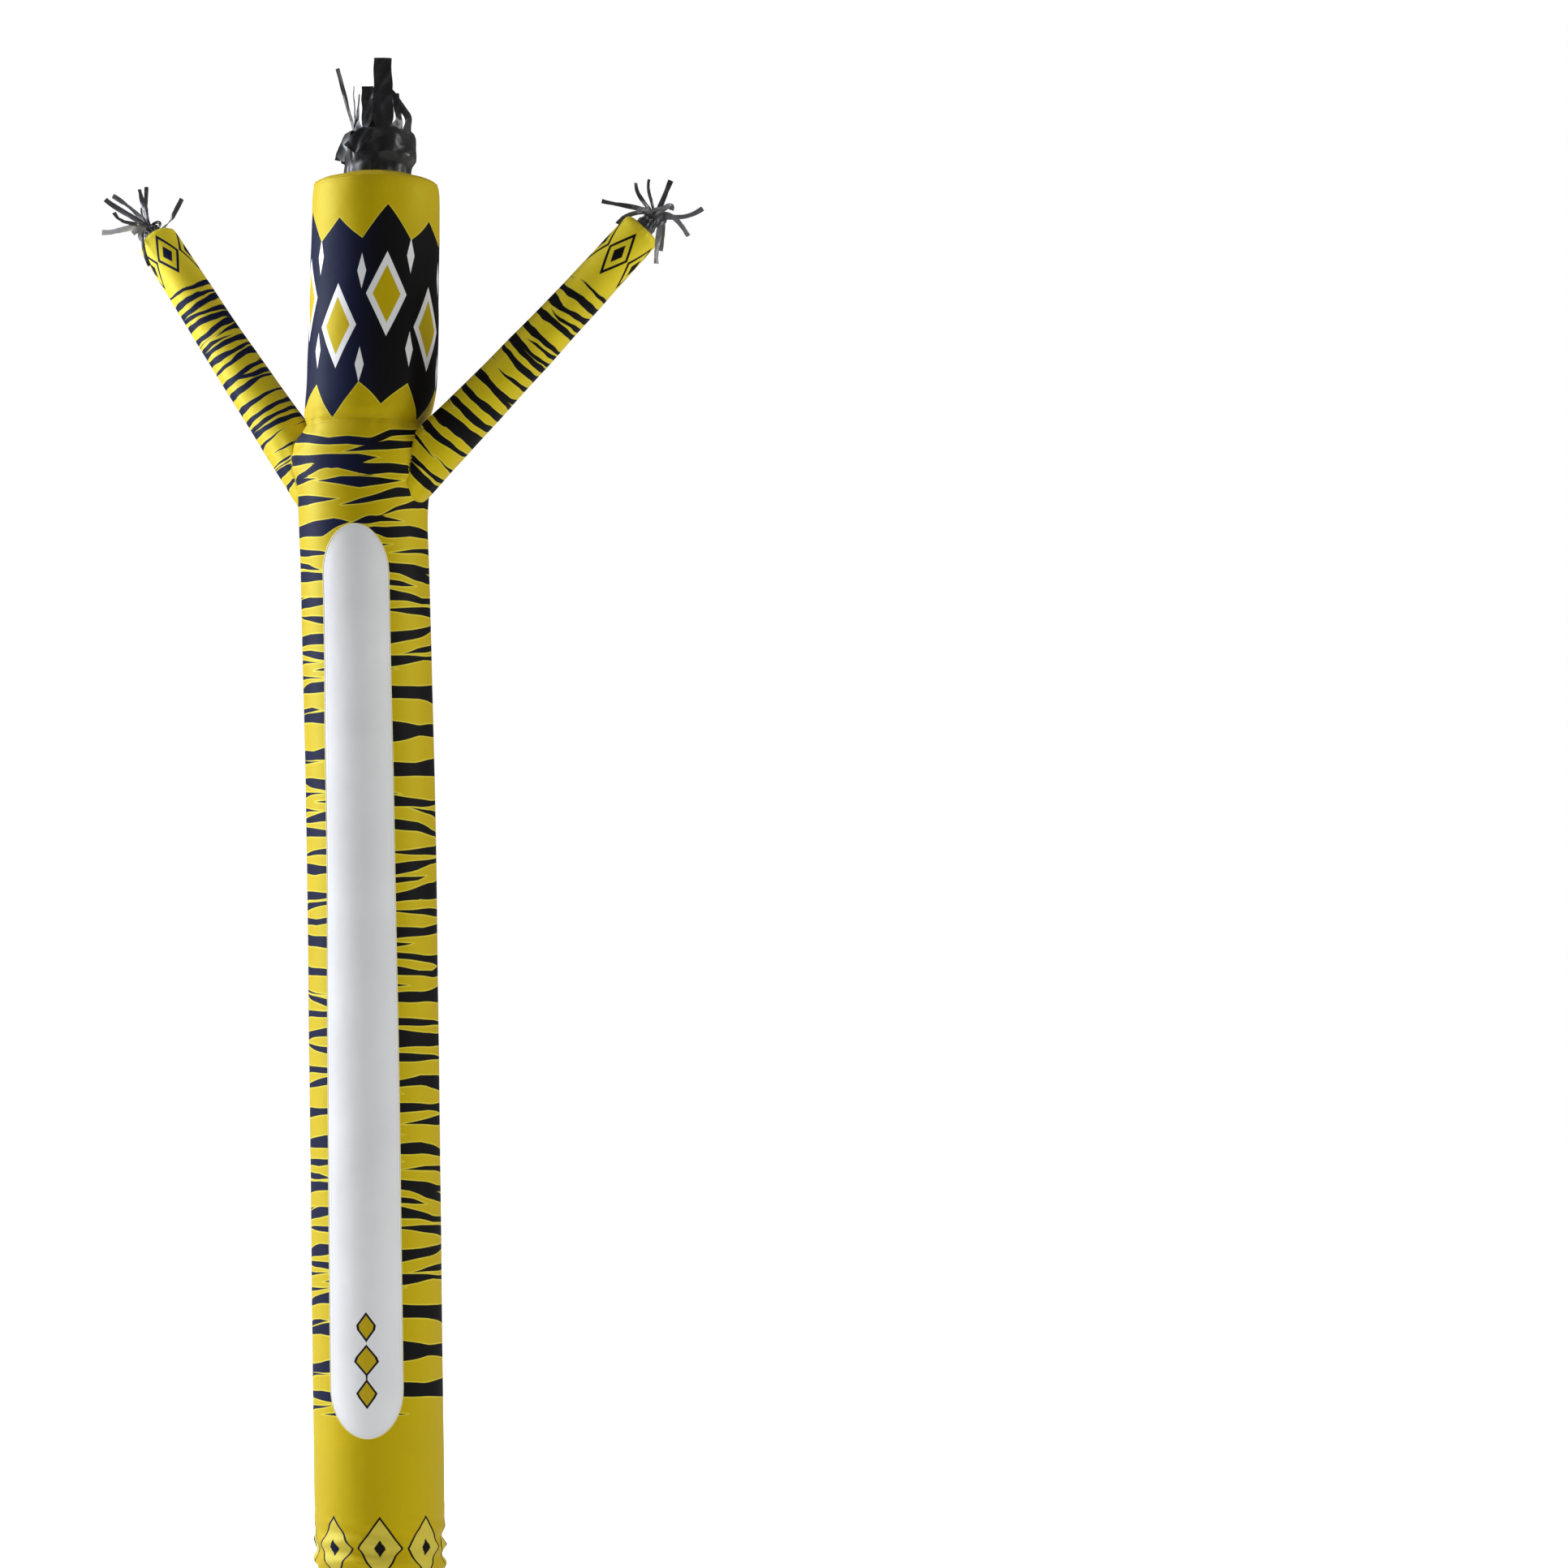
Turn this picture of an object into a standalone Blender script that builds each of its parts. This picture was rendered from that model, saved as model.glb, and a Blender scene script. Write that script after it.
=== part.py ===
"""A tube dancer for an advertising blower: an inflated cloth body with a capped head and two arms.

Every piece is a sheet of coated ripstop sewn into a tube and held out by the air inside it. The body tube
is open at its hem, where the blower's collar goes in, and the air leaves through the hair and the hands.
Metres, +Z up, the front of the body towards -Y. Azimuths turn from -Y towards +X, in degrees.
"""

import math
from collections import namedtuple

import bmesh
import bpy
from mathutils import Vector

# Cloth and seams
CLOTH = 0.003
SEAM_GAP = 0.0003
SEWN_GAP = 0.0004

# The body tube is the 18 inch size
TUBE_RADIUS = 0.2265
HEM_CENTRE = Vector((-0.031, -0.131))
NECK_HEIGHT = 4.123
BODY_SEGMENTS = 32

# Crumpled folds above the hem, where the cloth is strapped to the blower
FOLD_TOP = 0.33
FOLD_PITCH = 0.068
FOLD_DEPTH = 0.0075
FOLD_ROWS = 22
FOLD_FOOT = 0.03
FOLD_SHOULDER = 0.16
BODY_ROWS = 8
SHOULDER_HEIGHT = 3.62
SHOULDER_ROWS = 13

# Cap and hair
HAIR_RADIUS = 0.1185
HAIR_OFFSET = 0.0055
CAP_HOLE_RADIUS = HAIR_RADIUS + SEAM_GAP
HAIR_FOOT = 5.005
HAIR_SLIT_HEIGHT = 5.148
HAIR_BAND = 0.012
HAIR_CRUMPLE = 0.0045
HAIR_SEAM = 0.004
HAIR_LOOSE = 0.05
HAIR_BEND_START = 0.12
HAIR_BEND_STOP = 0.38
HAIR_TWIST_START = 0.1
HAIR_ROWS = 7
STREAMER = 0.0022

# Belly panel, sewn flat on the front of the body
PANEL_MIDDLE = -0.0368
PANEL_HALF_WIDTH = 0.120
PANEL_FOOT = 0.582
PANEL_HEAD = 3.751
PANEL_END = 0.170
PANEL_CLOTH = 0.0015
PANEL_END_STEPS = 12
PANEL_MARGIN = 0.3

# Arms
ARM_LENGTH = 1.135
ARM_ROOT_RADIUS = 0.098
ARM_TIP_RADIUS = 0.0735
ARM_OVERLAP = 0.170
ARM_BOW = -0.006
ARM_TAPER = 1.5
ARM_SEGMENTS = 22
ARM_ROWS = 9
HAND_HOLE_RADIUS = 0.036
HAND_END = 0.045
HAND_HOLE_REACH = 0.07
CORE_OVERLAP = 0.1

Station = namedtuple("Station", "z radius x")
# Tube radius and sideways drift of its centre line, from the hem up to the seam of the cap
BODY = (
    Station(0.000, 0.2255, 0.0000),
    Station(0.379, 0.2265, -0.0055),
    Station(1.055, 0.2265, -0.0175),
    Station(1.904, 0.2265, -0.0315),
    Station(2.759, 0.2265, -0.0475),
    Station(3.274, 0.2265, -0.0625),
    Station(3.620, 0.2265, -0.0730),
    Station(3.790, 0.2270, -0.0795),
    Station(3.950, 0.2270, -0.0790),
    Station(4.060, 0.2255, -0.0755),
    Station(4.123, 0.2165, -0.0715),
    Station(4.165, 0.2260, -0.0650),
    Station(4.253, 0.2300, -0.0536),
    Station(4.369, 0.2315, -0.0499),
    Station(4.484, 0.2300, -0.0462),
    Station(4.658, 0.2280, -0.0442),
    Station(4.774, 0.2275, -0.0420),
    Station(4.925, 0.2260, -0.0416),
    Station(4.956, 0.2240, -0.0415),
    Station(4.977, 0.2195, -0.0414),
)

Wave = namedtuple("Wave", "size turns climb phase")
# Waves round the cloth: how the hem's folds slant and vary, and how the hair's tube is crumpled
FOLD_SLANT = (Wave(1.3, 1, 0, 0.6), Wave(0.7, 2, 0, -1.1))
FOLD_UNEVEN = Wave(0.35, 3, 11, 0)
HAIR_FOLDS = (Wave(1.0, 4, 38, 0), Wave(0.6, 7, -52, 1.0))

Rim = namedtuple("Rim", "radius z")
# Dome of the cap, from its seam in to the hole that the hair comes out of
CAP = (
    Rim(0.2192, 4.9776),
    Rim(0.2145, 4.9840),
    Rim(0.1960, 4.9935),
    Rim(0.1680, 5.0010),
    Rim(0.1420, 5.0075),
    Rim(CAP_HOLE_RADIUS, 5.0160),
)

# Blunt end of an arm, as shares of its tip radius and of its rounded length
HAND_RIMS = (Rim(0.985, -0.40), Rim(0.90, -0.14), Rim(0.72, 0))

# Gathered cloth that is tied off in a hand's hole, from inside the arm outwards
KNOT = (
    Rim(HAND_HOLE_RADIUS - SEAM_GAP, -0.012),
    Rim(HAND_HOLE_RADIUS - SEAM_GAP, 0.006),
    Rim(0.034, 0.016),
    Rim(0.028, 0.028),
    Rim(0.031, 0.040),
    Rim(0.020, 0.052),
)
KNOT_MIDDLE = 0.026

Puff = namedtuple("Puff", "azimuth z push")
# Where the hair's tube swells out and is drawn in
PUFFS = (
    Puff(85, 5.095, 0.026),
    Puff(-85, 5.150, -0.018),
)
PUFF_AZIMUTH = 55.0
PUFF_HEIGHT = 0.05

Arm = namedtuple("Arm", "side root_azimuth root_z azimuth elevation bulge")
ARMS = (
    Arm("left", -110.0, 3.995, -128.4, 51.5, 0.036),
    Arm("right", 64.0, 3.979, 75.0, 45.5, 0.028),
)
BULGE_HEIGHT = 0.095
BULGE_AZIMUTH = 45.0
SHOULDER_TOP = 4.06

Streamer = namedtuple("Streamer", "azimuth width tip length lean bend sway twist")
# Strips that the hair tube is slit into. Lean and bend are the angles outwards at the foot and further up,
# and past 90 the strip folds over and hangs. Sway is towards rising azimuth.
HAIR = (
    Streamer(10.5, 0.074, 0.062, 0.262, 0, -1, -1, 4),
    Streamer(-18.5, 0.042, 0.042, 0.160, 0, 1, 0, -6),
    Streamer(-43.5, 0.016, 0.010, 0.142, 12, -9, -2, 30),
    Streamer(-51, 0.010, 0.007, 0.168, 4, 2, -1, 40),
    Streamer(-53.5, 0.018, 0.016, 0.235, 15, 17, -3, -30),
    Streamer(-17, 0.056, 0.056, 0.096, 125, 174, -40, 4),
    Streamer(-61, 0.044, 0.042, 0.110, 137, 165, -7, -32),
    Streamer(-126, 0.052, 0.046, 0.108, 100, 174, 4, -14),
    Streamer(-158, 0.044, 0.040, 0.110, 40, 168, -4, 10),
    Streamer(-170, 0.036, 0.032, 0.205, 2, 4, 1, -8),
    Streamer(170, 0.050, 0.046, 0.232, -1, 2, -1, 8),
    Streamer(147, 0.048, 0.044, 0.118, 36, 168, -5, 12),
    Streamer(127, 0.044, 0.040, 0.100, 60, 174, 4, -10),
    Streamer(92, 0.026, 0.022, 0.092, -56, -60, 0, -80),
    Streamer(64, 0.040, 0.030, 0.235, 16, -42, -9, 110),
    Streamer(38, 0.024, 0.020, 0.150, 2, -16, 3, 14),
)
STREAMER_ROWS = 8

Tassel = namedtuple("Tassel", "x y z loft turn_x turn_z width")
# Ends of the strips at each hand from the knot, the front one first. Loft is how far a strip first runs
# out along the arm, and the turns say which way it comes into its end.
HANDS = {
    "left": (
        Tassel(-0.008, -0.105, -0.136, 0.130, -0.030, 0.050, 0.013),
        Tassel(-0.140, -0.050, 0.067, 0.075, 0.030, -0.060, 0.015),
        Tassel(-0.186, 0.000, 0.004, 0.080, 0.060, -0.004, 0.019),
        Tassel(-0.178, 0.040, 0.133, 0.070, 0.060, -0.050, 0.019),
        Tassel(0.103, 0.062, 0.124, 0.060, -0.040, -0.070, 0.014),
        Tassel(-0.057, 0.095, 0.184, 0.070, 0.015, -0.060, 0.017),
        Tassel(-0.156, 0.125, 0.164, 0.090, 0.070, -0.040, 0.018),
        Tassel(-0.036, 0.165, 0.206, 0.080, 0.000, -0.070, 0.015),
    ),
    "right": (
        Tassel(0.070, -0.122, 0.020, 0.050, 0.010, 0.040, 0.016),
        Tassel(0.021, -0.085, -0.161, 0.100, -0.006, 0.080, 0.018),
        Tassel(0.133, -0.075, -0.061, 0.090, -0.030, 0.050, 0.015),
        Tassel(-0.003, -0.050, 0.142, 0.060, -0.016, -0.060, 0.011),
        Tassel(-0.166, -0.015, 0.071, 0.070, 0.080, -0.020, 0.016),
        Tassel(0.189, 0.010, 0.055, 0.060, -0.080, -0.060, 0.016),
        Tassel(0.039, 0.035, -0.092, 0.090, 0.010, 0.060, 0.017),
        Tassel(0.080, 0.055, 0.162, 0.060, -0.030, -0.070, 0.017),
        Tassel(-0.042, 0.075, 0.156, 0.060, 0.000, -0.070, 0.015),
        Tassel(-0.106, 0.105, 0.016, 0.080, 0.030, 0.050, 0.016),
    ),
}
TASSEL_ROWS = 7
TASSEL_STACK = 0.036

Finish = namedtuple("Finish", "name colour roughness")
YELLOW = Finish("printed_ripstop", (0.78, 0.68, 0.05), 0.42)
WHITE = Finish("white_ripstop", (0.82, 0.82, 0.82), 0.45)
BLACK = Finish("black_ripstop", (0.03, 0.03, 0.035), 0.4)


def cloth_finish(finish):
    """A Principled material for one kind of cloth."""
    material = bpy.data.materials.new(finish.name)
    material.use_nodes = True
    shader = material.node_tree.nodes["Principled BSDF"]
    shader.inputs["Base Color"].default_value = (*finish.colour, 1)
    shader.inputs["Roughness"].default_value = finish.roughness
    shader.inputs["Metallic"].default_value = 0
    return material


def add_object(name, bm, material, helper=False):
    """Turns a bmesh into an object; a helper only cuts or joins and isn't part of the dancer."""
    mesh = bpy.data.meshes.new(name)
    bm.to_mesh(mesh)
    bm.free()
    mesh.shade_smooth()
    mesh.set_sharp_from_angle(angle=math.radians(50))
    made = bpy.data.objects.new(name, mesh)
    bpy.context.scene.collection.objects.link(made)
    if material:
        mesh.materials.append(material)
    if helper:
        made.hide_render = True
        made.display_type = "WIRE"
    return made


def boolean(target, other, operation, solver="EXACT"):
    """Joins or cuts with an object or a collection; crossing strips are what EXACT can't join."""
    modifier = target.modifiers.new(other.name, "BOOLEAN")
    modifier.operation = operation
    modifier.solver = solver
    if isinstance(other, bpy.types.Collection):
        modifier.operand_type = "COLLECTION"
        modifier.collection = other
    else:
        modifier.object = other


def waves(table, angle, z=0.0):
    return sum(w.size * math.sin(w.turns * angle + w.climb * z + w.phase) for w in table)


def fade(value, start, stop):
    """0 before start, 1 after stop, smooth between them."""
    share = min(1, max(0, (value - start) / (stop - start)))
    return share * share * (3 - 2 * share)


def bell(distance, width):
    return math.exp(-((distance / width) ** 2))


def turned(azimuth):
    """Unit vector pointing outwards at an azimuth in degrees."""
    angle = math.radians(azimuth)
    return Vector((math.sin(angle), -math.cos(angle), 0))


def off_azimuth(azimuth, middle):
    return (azimuth - middle + 180) % 360 - 180


def along_body(z):
    """(radius, sideways drift) of the tube at a height, on a smooth curve through the stations."""
    last = len(BODY) - 1
    i = next((k for k in range(last) if z <= BODY[k + 1].z), last - 1)
    low, high = BODY[i], BODY[i + 1]
    span = high.z - low.z
    share = min(1, max(0, (z - low.z) / span))
    values = []
    for column in ("radius", "x"):
        ends = []
        for k in (i, i + 1):
            before, after = BODY[max(k - 1, 0)], BODY[min(k + 1, last)]
            rise = getattr(after, column) - getattr(before, column)
            ends.append(rise / (after.z - before.z) * span)
        a, b = getattr(low, column), getattr(high, column)
        bend = share * (1 - share)
        blend = share * share * (3 - 2 * share)
        values.append(a + (b - a) * blend + bend * ((1 - share) * ends[0] - share * ends[1]))
    return values


def hem_folds(z, azimuth):
    """How far the crumpled folds push the cloth out; none at the hem itself, which stays round."""
    angle = math.radians(azimuth)
    depth = FOLD_DEPTH * fade(z, 0, FOLD_FOOT) * (1 - fade(z, FOLD_SHOULDER, FOLD_TOP))
    wave = math.sin(2 * math.pi * z / FOLD_PITCH + waves(FOLD_SLANT, angle))
    uneven = 1 - FOLD_UNEVEN.size + waves([FOLD_UNEVEN], angle, z)
    return depth * uneven * wave


def shoulder_bulge(z, azimuth):
    """How far the arms' roots pull the body cloth out."""
    pull = 0
    for arm in ARMS:
        aside = off_azimuth(azimuth, arm.root_azimuth)
        pull += arm.bulge * bell(z - arm.root_z, BULGE_HEIGHT) * bell(aside, BULGE_AZIMUTH)
    return pull * (1 - fade(z, SHOULDER_TOP, NECK_HEIGHT))


def skin(z, azimuth, inset=0.0):
    """A point on the body or head tube, inset into the cloth."""
    radius, drift = along_body(z)
    radius += hem_folds(z, azimuth) + shoulder_bulge(z, azimuth) - inset
    point = turned(azimuth) * radius
    return Vector((HEM_CENTRE.x + drift + point.x, HEM_CENTRE.y + point.y, z))


def body_centre(z):
    return Vector((HEM_CENTRE.x + along_body(z)[1], HEM_CENTRE.y, z))


def spread(start, stop, steps):
    return [start + (stop - start) * k / steps for k in range(steps + 1)]


def bridge(bm, low, high):
    """Triangles between two rings of vertices that turn the same way, all split along one diagonal."""
    count = len(low)
    for k in range(count):
        m = (k + 1) % count
        bm.faces.new((low[k], low[m], high[m]))
        bm.faces.new((low[k], high[m], high[k]))


def shell(outer, inner):
    """A closed tube wall from rings of points that run from its foot to its head."""
    bm = bmesh.new()
    outside = [[bm.verts.new(point) for point in ring] for ring in outer]
    inside = [[bm.verts.new(point) for point in ring] for ring in inner]
    for low, high in zip(outside, outside[1:]):
        bridge(bm, low, high)
    for low, high in zip(inside, inside[1:]):
        bridge(bm, high, low)
    bridge(bm, inside[0], outside[0])
    bridge(bm, outside[-1], inside[-1])
    return bm


def plug(rings):
    """A closed solid that fills a stack of rings."""
    bm = bmesh.new()
    made = [[bm.verts.new(point) for point in ring] for ring in rings]
    for low, high in zip(made, made[1:]):
        bridge(bm, low, high)
    bm.faces.new(reversed(made[0]))
    bm.faces.new(made[-1])
    return bm


def skin_rings(heights, inset=0.0):
    steps = [360 * k / BODY_SEGMENTS for k in range(BODY_SEGMENTS)]
    return [[skin(z, azimuth, inset) for azimuth in steps] for z in heights]


def pushed_in(profile, distance):
    """The profile's points moved by distance to the side that faces the middle of the tube."""
    moved = []
    for k, (radius, z) in enumerate(profile):
        before, after = profile[max(k - 1, 0)], profile[min(k + 1, len(profile) - 1)]
        run = Vector((after[0] - before[0], after[1] - before[1])).normalized()
        moved.append((radius - run.y * distance, z + run.x * distance))
    return moved


def torso_heights():
    folds = spread(0, FOLD_TOP, FOLD_ROWS)
    straight = spread(FOLD_TOP, SHOULDER_HEIGHT, BODY_ROWS)
    shoulders = spread(SHOULDER_HEIGHT, NECK_HEIGHT, SHOULDER_ROWS)
    return folds + straight[1:] + shoulders[1:]


def head_heights():
    return [NECK_HEIGHT + SEAM_GAP] + [station.z for station in BODY if station.z > NECK_HEIGHT]


def make_torso(material):
    """The body tube, with a hole for each arm."""
    heights = torso_heights()
    torso = add_object("torso", shell(skin_rings(heights), skin_rings(heights, CLOTH)), material)
    for arm in ARMS:
        hole = arm_core(arm)
        boolean(torso, add_object(f"{arm.side}_arm_hole", hole, None, helper=True), "DIFFERENCE")


def make_head(material):
    heights = head_heights()
    add_object("head", shell(skin_rings(heights), skin_rings(heights, CLOTH)), material)


def hair_centre(z):
    middle = body_centre(BODY[-1].z)
    return Vector((middle.x + HAIR_OFFSET, middle.y, z))


def cap_ring(radius, z):
    """A ring of the cap, which runs from the middle of the head in to the middle of the hair."""
    inwards = (CAP[0].radius - radius) / (CAP[0].radius - CAP[-1].radius)
    middle = body_centre(BODY[-1].z).lerp(hair_centre(z), min(1, inwards))
    middle.z = z
    steps = [360 * k / BODY_SEGMENTS for k in range(BODY_SEGMENTS)]
    return [middle + turned(azimuth) * radius for azimuth in steps]


def make_cap(material):
    """The domed round panel that closes the head, with the hole for the hair."""
    under = pushed_in(CAP, CLOTH)
    under[0] = (CAP[0].radius - CLOTH, CAP[0].z)
    under[-1] = (CAP[-1].radius, CAP[-1].z - CLOTH)
    outer = [cap_ring(*rim) for rim in CAP]
    inner = [cap_ring(*rim) for rim in under]
    add_object("head_cap", shell(outer, inner), material)


def panel_outline():
    """(x, z) round the belly panel, whose sides keep to the body's own bow between two round ends."""
    low, high = PANEL_FOOT + PANEL_END, PANEL_HEAD - PANEL_END
    foot, head = [], []
    for k in range(PANEL_END_STEPS + 1):
        angle = math.pi * k / PANEL_END_STEPS
        across, along = PANEL_HALF_WIDTH * math.cos(angle), PANEL_END * math.sin(angle)
        foot.append((-across, low - along))
        head.append((across, high + along))
    rows = [z for z in torso_heights() if low < z < high]
    right = [(PANEL_HALF_WIDTH, z) for z in rows]
    left = [(-PANEL_HALF_WIDTH, z) for z in reversed(rows)]
    outline = foot + right + head + left
    return [(body_centre(z).x + PANEL_MIDDLE + x, z) for x, z in outline]


def make_panel(material):
    """The plain panel on the belly: a slice of a sleeve that just clears the body, cut to its outline."""
    heights = [z for z in torso_heights() if PANEL_FOOT - PANEL_MARGIN < z < PANEL_HEAD + PANEL_MARGIN]
    outer = skin_rings(heights, -SEWN_GAP - PANEL_CLOTH)
    inner = skin_rings(heights, -SEWN_GAP)
    panel = add_object("belly_panel", shell(outer, inner), material)
    outline = panel_outline()
    far = [Vector((x, HEM_CENTRE.y, z)) for x, z in outline]
    near = [Vector((x, HEM_CENTRE.y - 2 * TUBE_RADIUS, z)) for x, z in outline]
    boolean(panel, add_object("panel_outline", plug([far, near]), None, helper=True), "INTERSECT")


def arm_frame(arm):
    """(root point, direction, two axes across it) of an arm."""
    out = turned(arm.azimuth)
    lift = math.radians(arm.elevation)
    along = out * math.cos(lift) + Vector((0, 0, math.sin(lift)))
    across = Vector((0, 0, 1)).cross(along).normalized()
    root = body_centre(arm.root_z) + turned(arm.root_azimuth) * TUBE_RADIUS
    return root, along, across, along.cross(across)


def arm_radius(reach):
    share = min(1, max(0, reach / ARM_LENGTH))
    return ARM_TIP_RADIUS + (ARM_ROOT_RADIUS - ARM_TIP_RADIUS) * (1 - share) ** ARM_TAPER


def arm_profile():
    """(radius, reach) of the arm's outer face, round its blunt end and in to the hand's hole."""
    tube = [(arm_radius(reach), reach) for reach in spread(-ARM_OVERLAP, ARM_LENGTH - HAND_END, ARM_ROWS)]
    end = [(ARM_TIP_RADIUS * rim.radius, ARM_LENGTH + HAND_END * rim.z) for rim in HAND_RIMS]
    return tube + end + [(HAND_HOLE_RADIUS, ARM_LENGTH + HAND_END * HAND_HOLE_REACH)]


def arm_ring(arm, radius, reach):
    """A ring round an arm, which bows down a little along its length."""
    root, along, across, over = arm_frame(arm)
    share = min(1, max(0, reach / ARM_LENGTH))
    middle = root + along * reach + over * ARM_BOW * math.sin(math.pi * share)
    ring = []
    for k in range(ARM_SEGMENTS):
        angle = 2 * math.pi * k / ARM_SEGMENTS
        ring.append(middle + (across * math.cos(angle) + over * math.sin(angle)) * radius)
    return ring


def arm_core(arm):
    """The space inside an arm's root, which is the hole it needs in the body."""
    reaches = (-ARM_OVERLAP, 0, ARM_OVERLAP)
    return plug([arm_ring(arm, arm_radius(reach) - CLOTH, reach) for reach in reaches])


def make_arm(arm, body_core, material):
    """A tapered sleeve whose root is cut to lie on the body."""
    profile = arm_profile()
    inside = pushed_in(profile, CLOTH)
    inside[-1] = (HAND_HOLE_RADIUS, profile[-1][1] - CLOTH)
    outer = [arm_ring(arm, radius, reach) for radius, reach in profile]
    inner = [arm_ring(arm, radius, reach) for radius, reach in inside]
    sleeve = add_object(f"arm_{arm.side}", shell(outer, inner), material)
    boolean(sleeve, body_core, "DIFFERENCE")


def hair_radius(z, azimuth, inset=0.0):
    """The crumpled black tube of the hair; round where it is sewn into the cap."""
    angle = math.radians(azimuth)
    loose = fade(z, CAP[-1].z + HAIR_SEAM, CAP[-1].z + HAIR_LOOSE)
    pushed = 0
    for puff in PUFFS:
        near = bell(z - puff.z, PUFF_HEIGHT) * bell(off_azimuth(azimuth, puff.azimuth), PUFF_AZIMUTH)
        pushed += puff.push * near
    crumple = HAIR_CRUMPLE * waves(HAIR_FOLDS, angle, z)
    return HAIR_RADIUS + loose * (crumple + pushed) - inset


def hair_ring(z, inset=0.0):
    ring = []
    for k in range(BODY_SEGMENTS):
        azimuth = 360 * k / BODY_SEGMENTS
        ring.append(hair_centre(z) + turned(azimuth) * hair_radius(z, azimuth, inset))
    return ring


def ribbon(name, rows, thickness):
    """A strip from rows of (points across it, face normal)."""
    bm = bmesh.new()
    made = []
    for points, normal in rows:
        front = [bm.verts.new(point + normal * thickness / 2) for point in points]
        back = [bm.verts.new(point - normal * thickness / 2) for point in points]
        made.append(front + back[::-1])
    for low, high in zip(made, made[1:]):
        bridge(bm, low, high)
    bm.faces.new(reversed(made[0]))
    bm.faces.new(made[-1])
    bmesh.ops.recalc_face_normals(bm, faces=bm.faces)
    return add_object(name, bm, None, helper=True)


def hair_strip(number, strip):
    """One strip of the hair, rooted in its band, with its lean, bend, sway and twist built up along it."""
    foot = HAIR_SLIT_HEIGHT + SEAM_GAP + HAIR_BAND / 2
    ring_radius = hair_radius(foot, strip.azimuth, CLOTH / 2)
    out = turned(strip.azimuth)
    side = Vector((-out.y, out.x, 0))
    chord_depth = strip.width**2 / (16 * ring_radius)
    point = hair_centre(foot) + out * (ring_radius - chord_depth)
    step = strip.length / STREAMER_ROWS
    rows = []
    for k in range(STREAMER_ROWS + 1):
        share = k / STREAMER_ROWS
        bent = fade(share, HAIR_BEND_START, HAIR_BEND_STOP)
        lean = math.radians(strip.lean + (strip.bend - strip.lean) * bent)
        sway = math.radians(strip.sway)
        twist = math.radians(strip.twist * fade(share, HAIR_TWIST_START, 1))
        along = Vector((0, 0, math.cos(lean))) + out * math.sin(lean) + side * math.tan(sway)
        along.normalize()
        across = (side * math.cos(twist) + out * math.sin(twist)).normalized()
        across = (across - along * across.dot(along)).normalized()
        across *= (strip.width + (strip.tip - strip.width) * share) / 2
        rows.append(([point - across, point + across], across.cross(along).normalized()))
        point = point + along * step
    return ribbon(f"hair_strip_{number}", rows, STREAMER)


def make_hair(material):
    """The slit tube of the hair: its crumpled lower part, and the strips on their own band."""
    heights = spread(HAIR_FOOT, HAIR_SLIT_HEIGHT, HAIR_ROWS)
    outer = [hair_ring(z) for z in heights]
    inner = [hair_ring(z, CLOTH) for z in heights]
    add_object("hair_tube", shell(outer, inner), material)
    foot, head = HAIR_SLIT_HEIGHT + SEAM_GAP, HAIR_SLIT_HEIGHT + SEAM_GAP + HAIR_BAND
    outer = [hair_ring(z) for z in (foot, head)]
    inner = [hair_ring(z, CLOTH) for z in (foot, head)]
    band = add_object("hair_streamers", shell(outer, inner), material)
    strips = bpy.data.collections.new("hair_strips")
    for number, strip in enumerate(HAIR):
        strips.objects.link(hair_strip(number, strip))
    boolean(band, strips, "UNION", "MANIFOLD")


def knot_rings(arm):
    """The gathered black cloth that comes out of the hand's hole and is tied off."""
    return [arm_ring(arm, rim.radius, ARM_LENGTH + rim.z) for rim in KNOT]


def tassel_strip(name, start, outwards, tassel):
    """One strip of a hand, on a curve that leaves the knot along the arm."""
    stop = start + Vector((tassel.x, tassel.y, tassel.z))
    leave = start + outwards * tassel.loft
    arrive = stop + Vector((tassel.turn_x, 0, tassel.turn_z))
    rows = []
    for share in spread(0, 1, TASSEL_ROWS):
        rest = 1 - share
        near_end = start * rest**3 + leave * 3 * share * rest**2
        far_end = arrive * 3 * share**2 * rest + stop * share**3
        point = near_end + far_end
        along = (leave - start) * rest**2 + (stop - arrive) * share**2
        along += (arrive - leave) * 2 * share * rest
        across = along.cross(Vector((0, 1, 0))).normalized() * tassel.width / 2
        rows.append(([point - across, point + across], across.cross(along).normalized()))
    return ribbon(name, rows, STREAMER)


def make_hand(arm, material):
    """The tied tuft of black strips at the end of an arm."""
    tuft = add_object(f"tuft_{arm.side}", plug(knot_rings(arm)), material)
    root, along, _, _ = arm_frame(arm)
    middle = root + along * (ARM_LENGTH + KNOT_MIDDLE)
    strips = bpy.data.collections.new(f"{arm.side}_strips")
    tassels = HANDS[arm.side]
    for number, tassel in enumerate(tassels):
        depth = TASSEL_STACK * (number / (len(tassels) - 1) - 0.5)
        start = middle + Vector((0, depth, 0))
        strips.objects.link(tassel_strip(f"{arm.side}_strip_{number}", start, along, tassel))
    boolean(tuft, strips, "UNION", "MANIFOLD")


def make_body_core():
    """The filled body and head, a seam gap larger all round, that the arms' roots are cut with."""
    heights = [-CORE_OVERLAP] + torso_heights()[1:] + head_heights()[1:]
    return add_object("body_core", plug(skin_rings(heights, -SEAM_GAP)), None, helper=True)


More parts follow.
